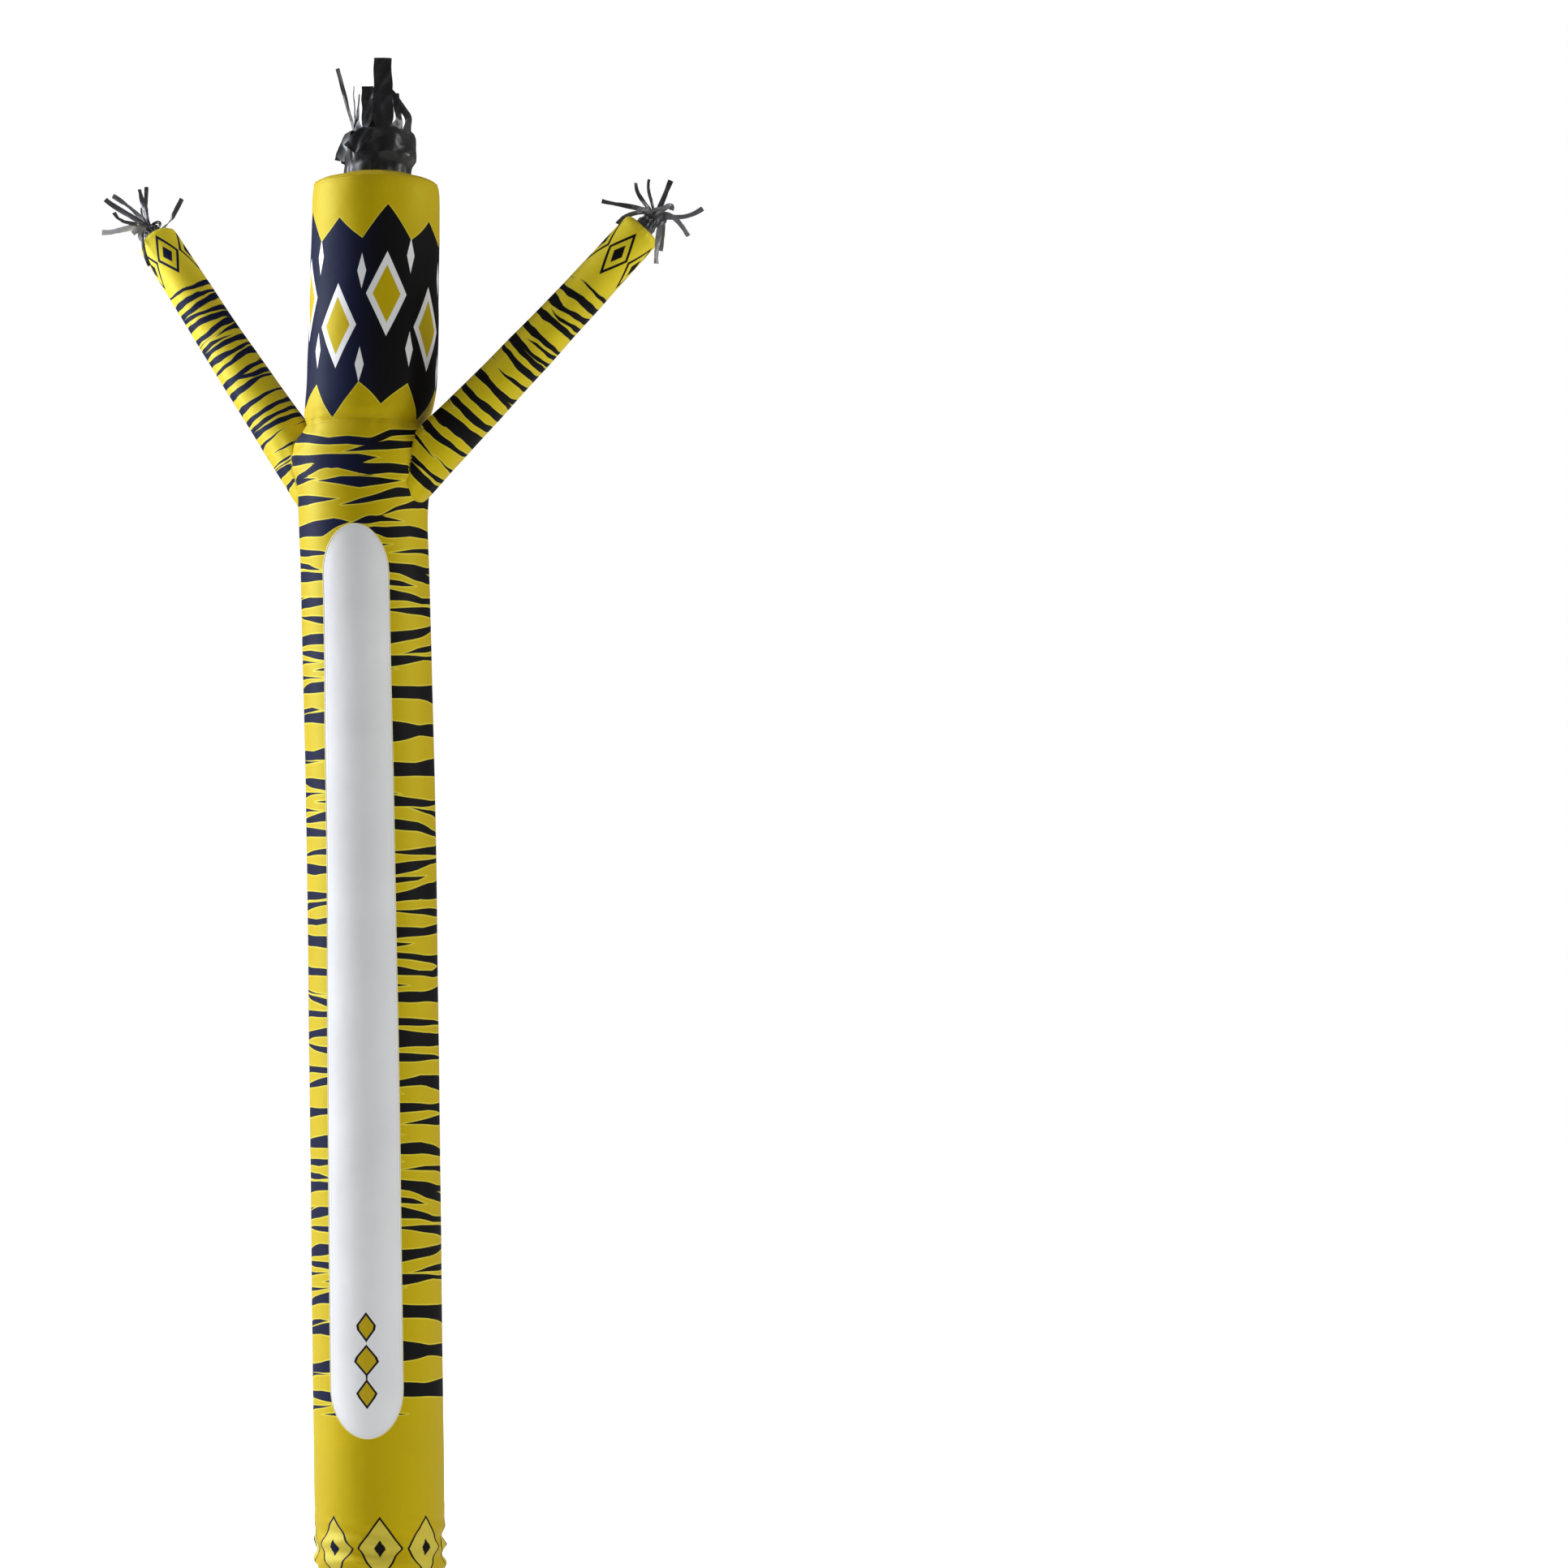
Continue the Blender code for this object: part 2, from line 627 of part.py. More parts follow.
def main():
    for old in list(bpy.data.objects):
        bpy.data.objects.remove(old)
    yellow, white, black = (cloth_finish(finish) for finish in (YELLOW, WHITE, BLACK))
    body_core = make_body_core()
    make_torso(yellow)
    make_head(yellow)
    make_cap(yellow)
    make_panel(white)
    for arm in ARMS:
        make_arm(arm, body_core, yellow)
        make_hand(arm, black)
    make_hair(black)


main()
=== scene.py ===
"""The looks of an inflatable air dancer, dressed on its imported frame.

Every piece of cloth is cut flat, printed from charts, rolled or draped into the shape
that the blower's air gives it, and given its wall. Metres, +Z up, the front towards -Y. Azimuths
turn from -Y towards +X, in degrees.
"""

from __future__ import annotations

import logging  # noqa: E402
import math  # noqa: E402
from dataclasses import dataclass, field  # noqa: E402
from enum import Enum  # noqa: E402
from typing import Any, Callable, Sequence  # noqa: E402

import bpy  # noqa: E402
import numpy as np  # noqa: E402
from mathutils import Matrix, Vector  # noqa: E402


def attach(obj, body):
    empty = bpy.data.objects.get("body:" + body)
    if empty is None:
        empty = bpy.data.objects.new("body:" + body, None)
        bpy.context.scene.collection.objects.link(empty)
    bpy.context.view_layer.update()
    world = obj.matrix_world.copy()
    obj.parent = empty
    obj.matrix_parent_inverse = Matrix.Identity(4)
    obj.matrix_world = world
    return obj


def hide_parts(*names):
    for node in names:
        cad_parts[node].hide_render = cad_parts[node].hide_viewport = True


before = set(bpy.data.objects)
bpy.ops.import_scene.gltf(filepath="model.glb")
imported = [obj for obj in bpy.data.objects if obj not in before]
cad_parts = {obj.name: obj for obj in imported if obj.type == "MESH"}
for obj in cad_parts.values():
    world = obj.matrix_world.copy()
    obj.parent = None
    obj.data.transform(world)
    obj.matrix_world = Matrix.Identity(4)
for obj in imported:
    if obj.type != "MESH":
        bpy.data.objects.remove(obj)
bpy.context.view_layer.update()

log = logging.getLogger("air_dancer")

Array = np.ndarray
Place = Callable[[Array, Array], Array]
Piece = bpy.types.Object
Material = bpy.types.Material
Socket = bpy.types.NodeSocket
# A line to sew along: its points, the cloth's outward normals there, and whether it is a loop
Line = tuple[Array, Array, bool]

# The hem's centre, and the heights of the neck's seam and of the seam round the head's top
HEM_X, HEM_Y = -0.031, -0.131
NECK_HEIGHT, HEAD_TOP = 4.123, 4.977
# The head's radius and a sleeve's, from which their cloths' widths are worked out
HEAD_RADIUS, SLEEVE_RADIUS = 0.229, 0.085


# ---------------------------------------------------------------- small tools


def fade(value: Array, start: float, stop: float) -> Array:
    """Rises from 0 before start to 1 after stop, with no kink."""
    share = np.clip((value - start) / (stop - start), 0, 1)
    return share * share * (3 - 2 * share)


def bell(distance: Array, width: float) -> Array:
    """A soft bump that is 1 at no distance."""
    return np.exp(-((distance / width) ** 2))


def turn_gap(angle: Array, middle: float) -> Array:
    """The turn from middle to angle, from -180 to 180 degrees."""
    return (angle - middle + 180) % 360 - 180


def around(u: Array) -> Array:
    """The azimuth of a place across a tube of cloth whose seam is at the back."""
    return u * 360 - 180


def beside(*parts: Array) -> Array:
    """Numbers side by side, one row for each place."""
    return np.stack(parts, axis=-1)


def unit(rows: Array) -> Array:
    """Each row of vectors at length 1."""
    return rows / np.maximum(np.linalg.norm(rows, axis=-1, keepdims=True), 1e-9)


def outwards(azimuth: Array) -> Array:
    """Unit vectors that point away from the tube's middle, one row for each azimuth in degrees."""
    turn = np.radians(azimuth)
    return beside(np.sin(turn), -np.cos(turn), np.zeros_like(turn))


def weave(width: float, length: float = 1.0) -> Place:
    """The weave's lengths at each place of a cloth that is so wide and long."""
    return lambda u, v: beside(u * width, v * length)


def crumple(a: Array, b: Array, seed: int, layers: int = 5) -> Array:
    """Soft uneven creases over two running lengths, about -1 to 1.

    Args:
        a: The first length, in creases.
        b: The second length, in creases.
        seed: Which set of creases.
        layers: How many trains of creases cross each other.

    Returns:
        The height of the creases, with rounded hollows and sharper ridges.
    """
    dice = np.random.default_rng(seed)
    total = np.zeros_like(a)
    for _ in range(layers):
        heading, pitch, start = dice.uniform(0, math.pi), dice.uniform(0.6, 1.7), dice.uniform(0, 6.3)
        run = (a * math.cos(heading) + b * math.sin(heading)) * pitch * 2 * math.pi + start
        bend = 0.9 * np.sin(0.37 * run + 2 * start)
        total += 1 - 2 * np.abs(np.sin((run + bend) / 2)) ** 0.8
    return total / layers * 1.8


class SmoothTable:
    """Columns of numbers over a rising first column, joined by smooth curves."""

    def __init__(self, *rows: Sequence[float]) -> None:
        """Keeps the rows."""
        self.at, *self.columns = np.array(rows, float).T

    @classmethod
    def even(cls, *rows: Sequence[float]) -> SmoothTable:
        """A table without its first column, which rises evenly from 0 to 1."""
        return cls(*((k / (len(rows) - 1), *row) for k, row in enumerate(rows)))

    def __call__(self, value: Array) -> list[Array]:
        """Reads every column at some values of the first.

        Args:
            value: Where to read.

        Returns:
            One array for each column.
        """
        at, last = self.at, len(self.at) - 1
        i = np.clip(np.searchsorted(at, value) - 1, 0, last - 1)
        before, after = np.maximum(i - 1, 0), np.minimum(i + 2, last)
        span = at[i + 1] - at[i]
        share = np.clip((value - at[i]) / span, 0, 1)
        blend, bend = share * share * (3 - 2 * share), share * (1 - share)
        made = []
        for column in self.columns:
            start = (column[i + 1] - column[before]) / (at[i + 1] - at[before]) * span
            stop = (column[after] - column[i]) / (at[after] - at[i]) * span
            curve = column[i] + (column[i + 1] - column[i]) * blend
            made.append(curve + bend * ((1 - share) * start - share * stop))
        return made


# ---------------------------------------------------------------- finishes


def linear(colour: str) -> tuple[float, float, float, float]:
    """Turns an sRGB hex colour to the linear one that the shaders take.

    Args:
        colour: A colour such as "#E5D325".

    Returns:
        Red, green, blue and a full alpha.
    """
    parts = [int(colour[k : k + 2], 16) / 255 for k in (1, 3, 5)]
    red, green, blue = (c / 12.92 if c <= 0.04045 else ((c + 0.055) / 1.055) ** 2.4 for c in parts)
    return red, green, blue, 1.0


def feed(node: bpy.types.Node, inputs: dict[Any, Any]) -> None:
    """Sets a node's inputs, and links those that another node's output is given for.

    Args:
        node: The node.
        inputs: A value or an output socket for each named or numbered input.
    """
    for key, value in inputs.items():
        if isinstance(value, Socket):
            node.id_data.links.new(value, node.inputs[key])
        else:
            node.inputs[key].default_value = value


def add_node(tree: Any, kind: str, inputs: dict[Any, Any], output: int | str = 0, **settings: Any) -> Socket:
    """Adds one node with its settings, values and links.

    MapRange takes its value at 0, the range that it comes from at 1 and 2, and the range that it
    goes to at 3 and 4. A Mix of colours takes the second one's share at 0 and the colours at 6 and 7,
    and gives them at output 2.

    Args:
        tree: The material's or world's node tree.
        kind: The node's type, after its "ShaderNode".
        inputs: A value or an output socket for each named or numbered input.
        output: The output that is wanted.
        settings: The node's own properties.

    Returns:
        That output's socket.
    """
    made = tree.nodes.new("ShaderNode" + kind)
    for key, value in settings.items():
        setattr(made, key, value)
    feed(made, inputs)
    return made.outputs[output]


def new_material(name: str) -> tuple[Material, Any, Any, Socket]:
    """A material whose tree is empty but for its shader and the piece's own coordinates.

    Args:
        name: The material's name.

    Returns:
        The material, its tree, its Principled shader and the coordinates.
    """
    material = bpy.data.materials.new(name)
    material.use_nodes = True
    tree = material.node_tree
    return material, tree, tree.nodes["Principled BSDF"], add_node(tree, "TexCoord", {}, "Object")


# The fields of a print: how far a place lies inside both edges of two sets of stripes, how deep it
# lies in the nearest stripe, and how deep it lies in the nearest lozenge
PRINT_FIELDS = (
    "stripe_over_0",
    "stripe_under_0",
    "stripe_over_1",
    "stripe_under_1",
    "stripe_depth",
    "motif",
)
# Where a field is this far below 0 there is no print near
FAR = -0.02


def fields_of(*values: Array) -> dict[str, Array]:
    """Names the fields of a print, in their order."""
    return dict(zip(PRINT_FIELDS, values))


class MotifStyle(Enum):
    """How a lozenge is printed."""

    RIMMED = "a white rim round a yellow heart"
    OUTLINED = "a dark line round a pale field with a dark heart"
    PLAIN = "a dark line round a yellow field"


@dataclass(frozen=True)
class Ripstop:
    """Ripstop nylon, 40 denier with a polyurethane coat: thin, tight, satin, with a faint square grid.

    The coat gives a broad soft gloss, and the doubled threads of the grid catch the light. The real
    grid is 5 mm, which is too fine to show, so it is drawn at 11 mm.
    """

    name: str
    ground: str = "#C8AB06"
    shaded: str = "#C8AB06"
    style: MotifStyle = MotifStyle.OUTLINED
    roughness: float = 0.56
    sheen: float = 0.02
    gloss: float = 0.80
    ink_gloss: float = 0.08
    ink_value: float = 0.1
    dye_value: float = 0.4
    glint: str = "#E6F450"
    grid: float = 0.011
    grid_height: float = 0.00012
    sheen_tinted_dark: str = "#161C3A"
    dark_right: str = "#131212"
    halo: str = "#DCC836"
    white: str = "#F2F2F0"
    pale: str = "#D9C548"
    heart: str = "#C8AB06"
    dark_from: float = -0.21
    dark_to: float = -0.02
    shade_from: float = 3.95
    shade_to: float = 4.75
    edge: float = 0.0009
    slack: float = 0.0022
    halo_width: float = 0.0042
    line: float = 0.0034
    rim: float = 0.021
    heart_depth: float = 0.019
    printed: bool = True

    def build(self) -> Material:
        """Makes the cloth's material from its print fields, its dye and its weave.

        Returns:
            The material.
        """
        material, tree, shader, place = new_material(self.name)
        # Uneven take-up of the dye, in patches of about 30 cm
        patches = add_node(tree, "TexNoise", {"Vector": place, "Scale": 3.2, "Detail": 3.0})
        # Painted shade and light: up the sleeves the yellow is mixed from a darker one near their roots to a
        # paler one at their outer ends
        height = add_node(tree, "SeparateXYZ", {0: place}, "Z")
        lit = add_node(tree, "MapRange", {0: height, 1: self.shade_from, 2: self.shade_to})
        both = {0: lit, 6: linear(self.shaded), 7: linear(self.ground)}
        ground = add_node(tree, "Mix", both, 2, data_type="RGBA")
        shade = add_node(tree, "MapRange", {0: patches, 1: 0.3, 2: 0.7, 3: 0.95, 4: 1.04})
        colour = add_node(tree, "HueSaturation", {"Color": ground, "Value": shade})
        if self.printed:
            colour = self.print_over(tree, place, colour)
        level, tint = self.coat(tree, colour)
        uneven = {0: patches, 1: 0.3, 2: 0.7, 3: self.roughness - 0.05, 4: self.roughness + 0.06}
        looks = {"Base Color": colour, "Normal": self.relief(tree, place), "IOR": 1.53}
        looks |= {"Specular IOR Level": level, "Specular Tint": tint}
        looks |= {"Sheen Weight": self.sheen, "Sheen Roughness": 0.35}
        feed(shader, looks | {"Roughness": add_node(tree, "MapRange", uneven)})
        return material

    def coat(self, tree: Any, colour: Socket) -> tuple[Any, Any]:
        """The coat's gloss: the dark inks dull it, and the pale ones glint in their own colour.

        Args:
            tree: The material's tree.
            colour: The socket of the dyed and printed colour.

        Returns:
            The specular level and tint, as sockets on a print and as plain values on plain cloth.
        """
        glint = linear(self.glint)
        if not self.printed:
            parts = linear(self.ground)[:3]
            strong = 1 - min(parts) / max(parts)
            return self.gloss, [1 + (part - 1) * strong for part in glint]
        _, saturation, value = add_node(tree, "SeparateColor", {0: colour}, mode="HSV").node.outputs
        pale = add_node(tree, "MapRange", {0: value, 1: self.ink_value, 2: self.dye_value})
        strong = add_node(tree, "Math", {0: pale, 1: saturation}, operation="MINIMUM")
        tints = {0: strong, 6: linear("#FFFFFF"), 7: glint}
        level = add_node(tree, "MapRange", {0: pale, 3: self.ink_gloss, 4: self.gloss})
        return level, add_node(tree, "Mix", tints, 2, data_type="RGBA")

    def print_over(self, tree: Any, place: Socket, colour: Socket) -> Socket:
        """Lays the stripes and then the lozenges over the ground colour.

        Args:
            tree: The material's tree.
            place: The piece's own coordinates.
            colour: The ground's colour.

        Returns:
            The printed colour.
        """
        # Painted sheen: the dark ink is mixed navy towards the lit left side and near black towards the right
        across = add_node(tree, "SeparateXYZ", {0: place}, "X")
        ranged = {0: across, 1: self.dark_from, 2: self.dark_to}
        side = add_node(tree, "MapRange", ranged, interpolation_type="SMOOTHSTEP")
        inks = {0: side, 6: linear(self.sheen_tinted_dark), 7: linear(self.dark_right)}
        dark = add_node(tree, "Mix", inks, 2, data_type="RGBA")
        *edges, depth, motif = (
            add_node(tree, "Attribute", {}, "Fac", attribute_name=name) for name in PRINT_FIELDS
        )
        first, second = (
            add_node(tree, "Math", {0: edges[k], 1: edges[k + 1]}, operation="MINIMUM") for k in (0, 2)
        )
        either = add_node(tree, "Math", {0: first, 1: second}, operation="MAXIMUM")
        near = add_node(tree, "Math", {0: depth, 1: self.slack}, operation="ADD")
        stripe = add_node(tree, "Math", {0: either, 1: near}, operation="MINIMUM")
        layers: list[tuple[Socket, float, Any]] = [
            (depth, -self.halo_width, linear(self.halo)),
            (stripe, 0.0, dark),
        ]
        if self.style is MotifStyle.RIMMED:
            layers += [(motif, 0.0, linear(self.white)), (motif, self.rim, linear(self.heart))]
        else:
            filling = self.pale if self.style is MotifStyle.OUTLINED else self.heart
            layers += [(motif, -self.line, dark), (motif, self.line, linear(filling))]
        if self.style is MotifStyle.OUTLINED:
            layers.append((motif, self.heart_depth, dark))
        for inside, level, ink in layers:
            mask = add_node(tree, "MapRange", {0: inside, 1: level - self.edge, 2: level + self.edge})
            colour = add_node(tree, "Mix", {0: mask, 6: colour, 7: ink}, 2, data_type="RGBA")
        return colour

    def relief(self, tree: Any, place: Socket) -> Socket:
        """The grid of doubled threads on a light crinkle.

        Args:
            tree: The material's tree.
            place: The piece's own coordinates.

        Returns:
            The bumped normal.
        """
        threads = {"Vector": add_node(tree, "UVMap", {}, uv_map="cloth"), "Scale": math.pi / 10 / self.grid}
        warp, weft = (add_node(tree, "TexWave", threads, "Fac", bands_direction=way) for way in "XY")
        either = add_node(tree, "Math", {0: warp, 1: weft}, operation="MAXIMUM")
        ribs = add_node(tree, "Math", {0: either, 1: 6.0}, operation="POWER")
        crinkle = add_node(tree, "TexNoise", {"Vector": place, "Scale": 14.0, "Detail": 4.0})
        broad = add_node(tree, "Bump", {"Strength": 0.35, "Distance": 0.004, "Height": crinkle})
        fine = {"Strength": 0.35, "Distance": self.grid_height, "Height": ribs, "Normal": broad}
        return add_node(tree, "Bump", fine)


@dataclass(frozen=True)
class BlackTaffeta:
    """Black nylon taffeta, calendered: near black, with a wet gloss that breaks up on every crease, and paler
    grey painted on the creases as painted sheen.
    """

    name: str = "black_nylon_taffeta"
    colour: str = "#1B1B1E"
    sheen_grey: str = "#3A3A3E"
    pale_grey: str = "#DCDCDF"
    roughness: float = 0.34
    sheen: float = 0.15

    def build(self) -> Material:
        """Makes the crumpled black cloth's material.

        Returns:
            The material.
        """
        material, tree, shader, place = new_material(self.name)
        # Soft creases about 6 cm apart, whose raised parts are painted paler grey as painted sheen
        soft = {"Vector": place, "Scale": 15.0, "Detail": 3.0, "Roughness": 0.45, "Distortion": 0.4}
        creases = add_node(tree, "TexNoise", soft)
        sheen_patches = add_node(tree, "MapRange", {0: creases, 1: 0.56, 2: 0.74, 4: 0.6})
        inks = {0: sheen_patches, 6: linear(self.colour), 7: linear(self.sheen_grey)}
        colour = add_node(tree, "Mix", inks, 2, data_type="RGBA")
        # Some strips are mixed towards a pale grey along their length, each by its own share
        fading = add_node(tree, "Attribute", {}, "Fac", attribute_name="fading")
        colour = add_node(tree, "Mix", {0: fading, 6: colour, 7: linear(self.pale_grey)}, 2, data_type="RGBA")
        # Taffeta's crosswise ribs are 0.5 mm, drawn at 3 mm so that they show
        threads = {"Vector": add_node(tree, "UVMap", {}, uv_map="cloth"), "Scale": 105.0}
        ribs = add_node(tree, "TexWave", threads, "Fac", bands_direction="Y")
        broad = add_node(tree, "Bump", {"Strength": 0.6, "Distance": 0.004, "Height": creases})
        fine = {"Strength": 0.15, "Distance": 0.0001, "Height": ribs, "Normal": broad}
        uneven = {0: creases, 1: 0.3, 2: 0.7, 3: self.roughness - 0.08, 4: self.roughness + 0.12}
        looks = {"Base Color": colour, "Normal": add_node(tree, "Bump", fine), "IOR": 1.53}
        looks |= {"Roughness": add_node(tree, "MapRange", uneven), "Sheen Weight": self.sheen}
        feed(shader, looks)
        return material


@dataclass(frozen=True)
class SewingThread:
    """Bonded polyester thread, twisted: round, slightly glossy, with a diagonal twist."""

    name: str
    colour: str
    roughness: float = 0.5

    def build(self) -> Material:
        """Makes the thread's material.

        Returns:
            The material.
        """
        material, tree, shader, place = new_material(self.name)
        # The real twist is 0.3 mm, drawn at 1.5 mm
        bands = {"Vector": place, "Scale": 210.0}
        twist = add_node(tree, "TexWave", bands, "Fac", bands_direction="DIAGONAL")
        shade = add_node(tree, "MapRange", {0: twist, 3: 0.8, 4: 1.05})
        colour = add_node(tree, "HueSaturation", {"Color": linear(self.colour), "Value": shade})
        bump = add_node(tree, "Bump", {"Strength": 0.4, "Distance": 0.0002, "Height": twist})
        feed(shader, {"Base Color": colour, "Normal": bump, "Roughness": self.roughness})
        return material


def built(finish: Ripstop | BlackTaffeta | SewingThread) -> Any:
    """A field that holds a finish's material, built along with its owner."""
    return field(default_factory=finish.build)


@dataclass(frozen=True)
class Finishes:
    """The dancer's materials, each built once."""

    body: Material = built(Ripstop("printed_ripstop_body", heart_depth=0.045))
    head: Material = built(Ripstop("printed_ripstop_head", style=MotifStyle.RIMMED))
    # Painted light: the sleeves' yellow is lighter than the body's, for the light that the thin sleeves let
    # through, and darker towards their roots as painted shade
    sleeve: Material = built(
        Ripstop(
            "printed_ripstop_sleeve", "#EAD32C", "#D2B80E", heart_depth=0.020, line=0.0046, pale="#EAD32C"
        )
    )
    cap: Material = built(Ripstop("yellow_ripstop", printed=False))
    panel: Material = built(
        Ripstop(
            "white_ripstop", "#F5F5F4", "#F5F5F4", MotifStyle.PLAIN, 0.40, gloss=0.20, glint="#FFFFFF"
        )
    )
    edging: Material = built(Ripstop("pale_binding", "#F1EBC2", "#F1EBC2", printed=False))
    black: Material = built(BlackTaffeta())
    # Painted sheen: the ribbon is the black taffeta in a lighter grey, with paler grey creases, for the gloss
    # that it catches
    ribbon: Material = built(
        BlackTaffeta("black_taffeta_ribbon", "#38383C", "#6C6C72", roughness=0.30, sheen=0.3)
    )
    yellow_thread: Material = built(SewingThread("yellow_polyester_thread", "#D2BE22"))
    white_thread: Material = built(SewingThread("white_polyester_thread", "#DADAD6"))
    black_thread: Material = built(SewingThread("black_polyester_thread", "#19191B"))


# ---------------------------------------------------------------- cutting and sewing


def start_clean() -> None:
    """Leaves edit mode and deselects everything."""
    if bpy.context.mode != "OBJECT":
        bpy.ops.object.mode_set(mode="OBJECT")
    bpy.ops.object.select_all(action="DESELECT")


def pick(piece: Piece) -> None:
    """Makes one object the only one selected and active.

    Args:
        piece: The object.
    """
    start_clean()
    piece.select_set(True)
    bpy.context.view_layer.objects.active = piece


def edit_all(piece: Piece, operator: Callable[..., Any], **settings: Any) -> None:
    """Runs an edit-mode operator on all of a piece.

    Args:
        piece: The piece.
        operator: The operator.
        settings: The operator's own settings.
    """
    pick(piece)
    bpy.ops.object.mode_set(mode="EDIT")
    bpy.ops.mesh.select_all(action="SELECT")
    operator(**settings)
    bpy.ops.object.mode_set(mode="OBJECT")


def finish_piece(piece: Piece, material: Material, replaces: Sequence[str] = (), angle: float = 50.0) -> None:
    """Dresses a piece, smooths it, and ties it to the frame.

    Args:
        piece: The finished mesh.
        material: What it is made of.
        replaces: The CAD nodes that it stands for.
        angle: The sharpest edge that is smoothed, in degrees.
    """
    pick(piece)
    bpy.ops.object.shade_smooth_by_angle(angle=math.radians(angle))
    piece.data.materials.clear()
    piece.data.materials.append(material)
    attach(piece, "root")
    if replaces:
        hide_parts(*replaces)
    piece.select_set(False)
    log.info("%s: %d faces", piece.name, len(piece.data.polygons))


def join(pieces: Sequence[Piece]) -> Piece:
    """Joins some pieces into the first of them.

    Args:
        pieces: The pieces.

    Returns:
        The first, which now holds them all.
    """
    pick(pieces[0])
    for piece in pieces[1:]:
        piece.select_set(True)
    bpy.ops.object.join()
    return pieces[0]


@dataclass
class Cut:
    """A flat piece of cloth, cut as a grid and then shaped.

    The grid's first direction runs along the weft, from 0 to 1, and its second along the warp,
    where steps gives the place of every row.
    """

    name: str
    columns: int
    steps: Array
    thickness: float = 0.0028
    offset: float = -1.0
    printed: Callable[[Array, Array], dict[str, Array]] | None = None
    merge: float = 0.00008

    def make(self, place: Place, lengths: Place, hole: Callable[[Array], Array] | None = None) -> Piece:
        """Cuts the cloth, shapes it, sews it up and gives it its wall.

        Args:
            place: The point in space of each place on the cloth.
            lengths: The weave's own two lengths at each place, in metres.
            hole: Which of some face centres are cut out.

        Returns:
            The cloth.
        """
        start_clean()
        rows = len(self.steps) - 1
        bpy.ops.mesh.primitive_grid_add(
            x_subdivisions=self.columns, y_subdivisions=rows, size=1, calc_uvs=True
        )
        piece = bpy.context.object
        piece.name = piece.data.name = self.name
        mesh = piece.data
        flat = np.zeros(len(mesh.vertices) * 3)
        mesh.vertices.foreach_get("co", flat)
        across, along, _ = flat.reshape(-1, 3).T + 0.5
        along = np.interp(along, np.linspace(0, 1, rows + 1), self.steps)
        mesh.vertices.foreach_set("co", place(across, along).ravel())
        for name, values in (self.printed(across, along) if self.printed else {}).items():
            layer = mesh.attributes.new(name, "FLOAT", "POINT")
            layer.data.foreach_set("value", values.astype(np.float32))
        corners = np.zeros(len(mesh.loops), np.int64)
        mesh.loops.foreach_get("vertex_index", corners)
        woven = lengths(across, along)[corners].astype(np.float32)
        mesh.uv_layers[0].name = "cloth"
        mesh.uv_layers[0].data.foreach_set("uv", woven.ravel())
        mesh.update()
        if hole is not None:
            self.cut_out(piece, hole)
        edit_all(piece, bpy.ops.mesh.remove_doubles, threshold=self.merge)
        wall = piece.modifiers.new("wall", "SOLIDIFY")
        wall.thickness, wall.offset, wall.use_rim = self.thickness, self.offset, True
        bpy.ops.object.modifier_apply(modifier="wall")
        return piece

    def cut_out(self, piece: Piece, hole: Callable[[Array], Array]) -> None:
        """Deletes the faces whose centres lie in the hole.

        Args:
            piece: The cloth before it has a wall.
            hole: Which of some face centres are cut out.
        """
        centres = np.zeros(len(piece.data.polygons) * 3)
        piece.data.polygons.foreach_get("center", centres)
        pick(piece)
        bpy.ops.object.mode_set(mode="EDIT")
        bpy.ops.mesh.select_mode(type="FACE")
        bpy.ops.mesh.select_all(action="DESELECT")
        bpy.ops.object.mode_set(mode="OBJECT")
        piece.data.polygons.foreach_set("select", hole(centres.reshape(-1, 3)))
        bpy.ops.object.mode_set(mode="EDIT")
        bpy.ops.mesh.delete(type="FACE")
        bpy.ops.mesh.select_mode(type="VERT")
        bpy.ops.object.mode_set(mode="OBJECT")


def welt(name: str, points: Array, radius: float) -> Piece:
    """A thin round roll of cloth along a closed line of points, as a curve that is made a mesh.

    Args:
        name: The piece's name.
        points: The line, one row for each point.
        radius: Half the roll's width.

    Returns:
        The mesh.
    """
    start_clean()
    line = bpy.data.curves.new(name, "CURVE")
    line.dimensions, line.bevel_depth, line.bevel_resolution = "3D", radius, 2
    spline = line.splines.new("POLY")
    spline.points.add(len(points) - 1)
    spline.points.foreach_set("co", np.c_[points, np.ones(len(points))].ravel())
    spline.use_cyclic_u = True
    piece = bpy.data.objects.new(name, line)
    bpy.context.scene.collection.objects.link(piece)
    pick(piece)
    bpy.ops.object.convert(target="MESH")
    return bpy.context.object


